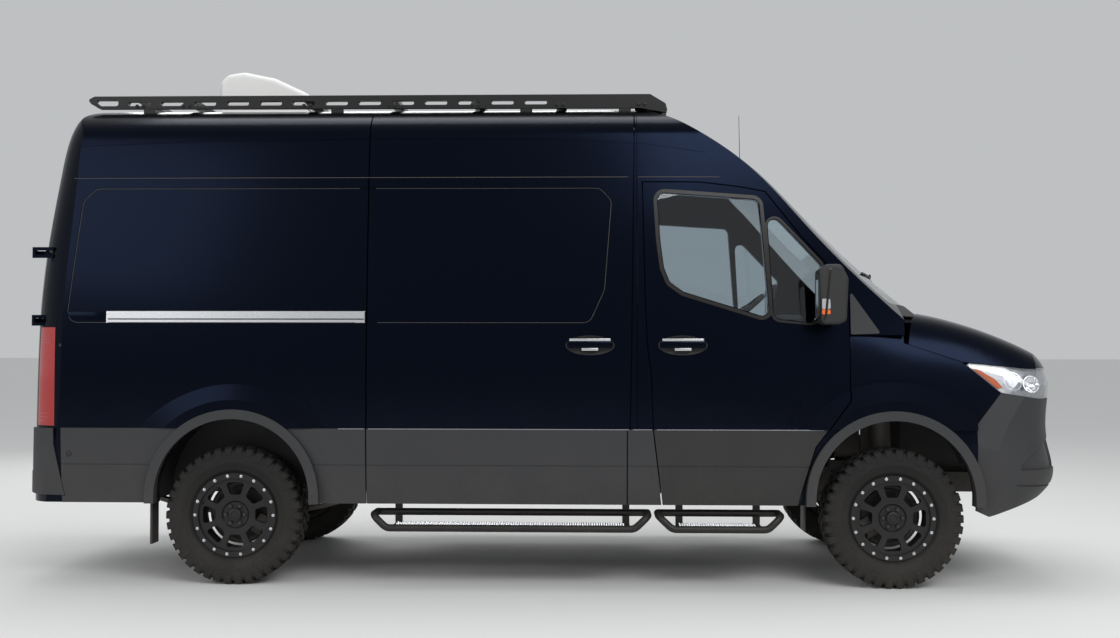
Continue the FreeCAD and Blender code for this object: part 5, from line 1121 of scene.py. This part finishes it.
rail = {"ends": ((-2.566, 0.116), (-0.992, 0.004)), "endProbeZ": 1.4935, "endZ": (1.464, 1.523),
    "endY": (-0.0022, 0.003), "probe": (-1.7, 1.49), "grooveX": (-2.44, -0.999),
    "grooveY": (-0.0009, 0.004), "grooveZ": (1.4785, 1.4855)}
blocks = []
for x, width in rail["ends"]:
    skin = sidePoint(bodySkins["right"], x, rail["endProbeZ"], -1).y
    blocks.append([(x + end * width, skin + dy, z)
        for end, dy, z in zip((-1, 1), rail["endY"], rail["endZ"])])
addBlocks("railEnds", blocks, 0.0015, 2, "paint", "body", "black_paint")
skin = sidePoint(skinOf("slide_rail"), *rail["probe"], -1).y
groove = tuple((x, skin + dy, z) for x, dy, z in zip(rail["grooveX"], rail["grooveY"], rail["grooveZ"]))
addBlocks("railGroove", [groove], 0.0005, 1, *blackTrim)

# lines laid on the side skin for painted highlights: the roof seam, the pressed panel outline and the
# cladding's top edge
beads = {"seam": ((-2.665, 2.28), (0.98, 2.28)),
    "panel": ((-2.682, 1.46), (-2.607, 2.154), (-2.533, 2.222), (0.313, 2.22), (0.38, 2.148),
        (0.341, 1.645), (0.258, 1.46)),
    "inset": -0.0025, "radius": 0.058, "step": 0.03, "land": (-1.018, -0.948),
    # spans and height of the painted highlight line on the cladding's top edge
    "trim": ((-1.14, -0.995), (-0.972, 0.474), (0.494, 0.598)), "doorHighlightSpans": ((0.626, 1.545),),
    "highlightLineZ": 0.8725}


def alongSkin(skins, points, sign, proud, skip=None):
    # runs of points on the skin, broken where it has a gap
    runs = [[]]
    for index in range(len(points) - 1):
        start, stop = Vector(points[index]), Vector(points[index + 1])
        count = max(1, int((stop - start).length / beads["step"]))
        for step in range(count + (index == len(points) - 2)):
            x, z = start.lerp(stop, step / count)
            place = sidePoint(skins, x, z, sign, proud)
            if place is not None and not (skip and skip[0] < x < skip[1]):
                runs[-1].append(place)
            elif runs[-1]:
                runs.append([])
    return [run for run in runs if len(run) > 1]


# light grey line along the cladding's top edge, on the body and the front doors: a painted highlight where the
# chamfer catches the light, not a real trim strip
def edgeHighlightLine(name, skins, spans, sign, body):
    z = beads["highlightLineZ"]
    lines = [line for low, high in spans for line in alongSkin(skins, ((low, z), (high, z)), sign, 0.0006)]
    addTube(name, lines, 0.003, "paintedEdgeHighlight", body, "grey_cladding", rings=2)


# beads in the roof seam and along the pressed panel outlines; the seam's seal and the creases are real, and the
# beads' lighter colour is a painted highlight on them
for side, sign in sides:
    loop = roundedLoop(grownLoop(beads["panel"], beads["inset"]), beads["radius"])
    lines = alongSkin(bodySkins[side], beads["seam"], sign, 0.0004)
    lines += alongSkin(bodySkins[side], [*loop, loop[0]], sign, 0.0004, beads["land"] if sign < 0 else None)
    addTube(f"{side}PanelHighlightBeads", lines, 0.0022, "paintedHighlightBead", "body", "black_paint", rings=2)
    edgeHighlightLine(f"{side}SkirtPaintedHighlight", bodySkins[side], beads["trim"], sign, "body")
    edgeHighlightLine(f"{side}DoorPaintedHighlight", doorSkins[side], beads["doorHighlightSpans"], sign, f"{side}_front_door")

rearSkin = skinOf("left_rear_door", "right_rear_door", "rear_frame", "left_rear_glass", "right_rear_glass",
    "tail_lamps")


def rearPoint(y, z, proud=0.0):
    return skinPoint(rearSkin, (-5.0, y, z), (1, 0, 0), proud)


handle = {"y": (0.055, 0.215), "z": 1.27, "proud": 0.024, "post": (0.012, 0.014),
    "bar": (0.006, 0.012, 0.014, 0.016)}
z = handle["z"]
bm = bmesh.new()
half, tall = handle["post"]
for y in handle["y"]:
    x = rearPoint(y, z).x
    addBlock(bm, (x - handle["proud"], y - half, z - tall), (x + 0.004, y + half, z + tall), 0.006, 3)
reach = rearPoint(sum(handle["y"]) / 2, z, handle["proud"]).x
out, inside, half, tall = handle["bar"]
low, high = handle["y"]
addBlock(bm, (reach - out, low - half, z - tall), (reach + inside, high + half, z + tall), 0.006, 4)
addPiece("rearDoorHandle", bm, "paint", "left_rear_door", "black_paint")

stopLamp = {"probe": (0.02, 2.6), "x": (-0.012, 0.006), "half": 0.17, "z": (2.583, 2.617)}
x = rearPoint(*stopLamp["probe"]).x
lampEnds = [(x + dx, end * stopLamp["half"], z) for dx, end, z in zip(stopLamp["x"], (-1, 1), stopLamp["z"])]
addBlocks("highStopLamp", [lampEnds], 0.005, 3, "red", "body", "red_lamp")

seal = {"low": 0.57, "high": 2.5, "steps": 60, "probeY": 0.04, "y": 0.0009, "deep": 0.012, "radius": 0.0036}
line = []
for step in range(seal["steps"] + 1):
    z = seal["low"] + (seal["high"] - seal["low"]) * step / seal["steps"]
    place = rearPoint(seal["probeY"], z, -seal["deep"])
    if place is not None:
        line.append((place.x, seal["y"], z))
addTube("rearDoorSeal", [line], seal["radius"], "rubber", "left_rear_door", "black_plastic", rings=2)
print("sides and rear dressed")

# ribs along the tail lamps
tail = {"levels": (0.912, 0.932, 0.952, 1.352, 1.372, 1.392), "span": (-2.895, -2.77), "proud": -0.001,
    "radius": 0.0028}
low, high = tail["span"]
for side, sign in sides:
    lines = [line for z in tail["levels"]
        for line in alongSkin(skinOf("tail_lamps"), ((low, z), (high, z)), sign, tail["proud"])]
    addTube(f"{side}TailRibs", lines, tail["radius"], "red", "body", "red_lamp", rings=2)
print("tail lamps dressed")

print("pieces placed")
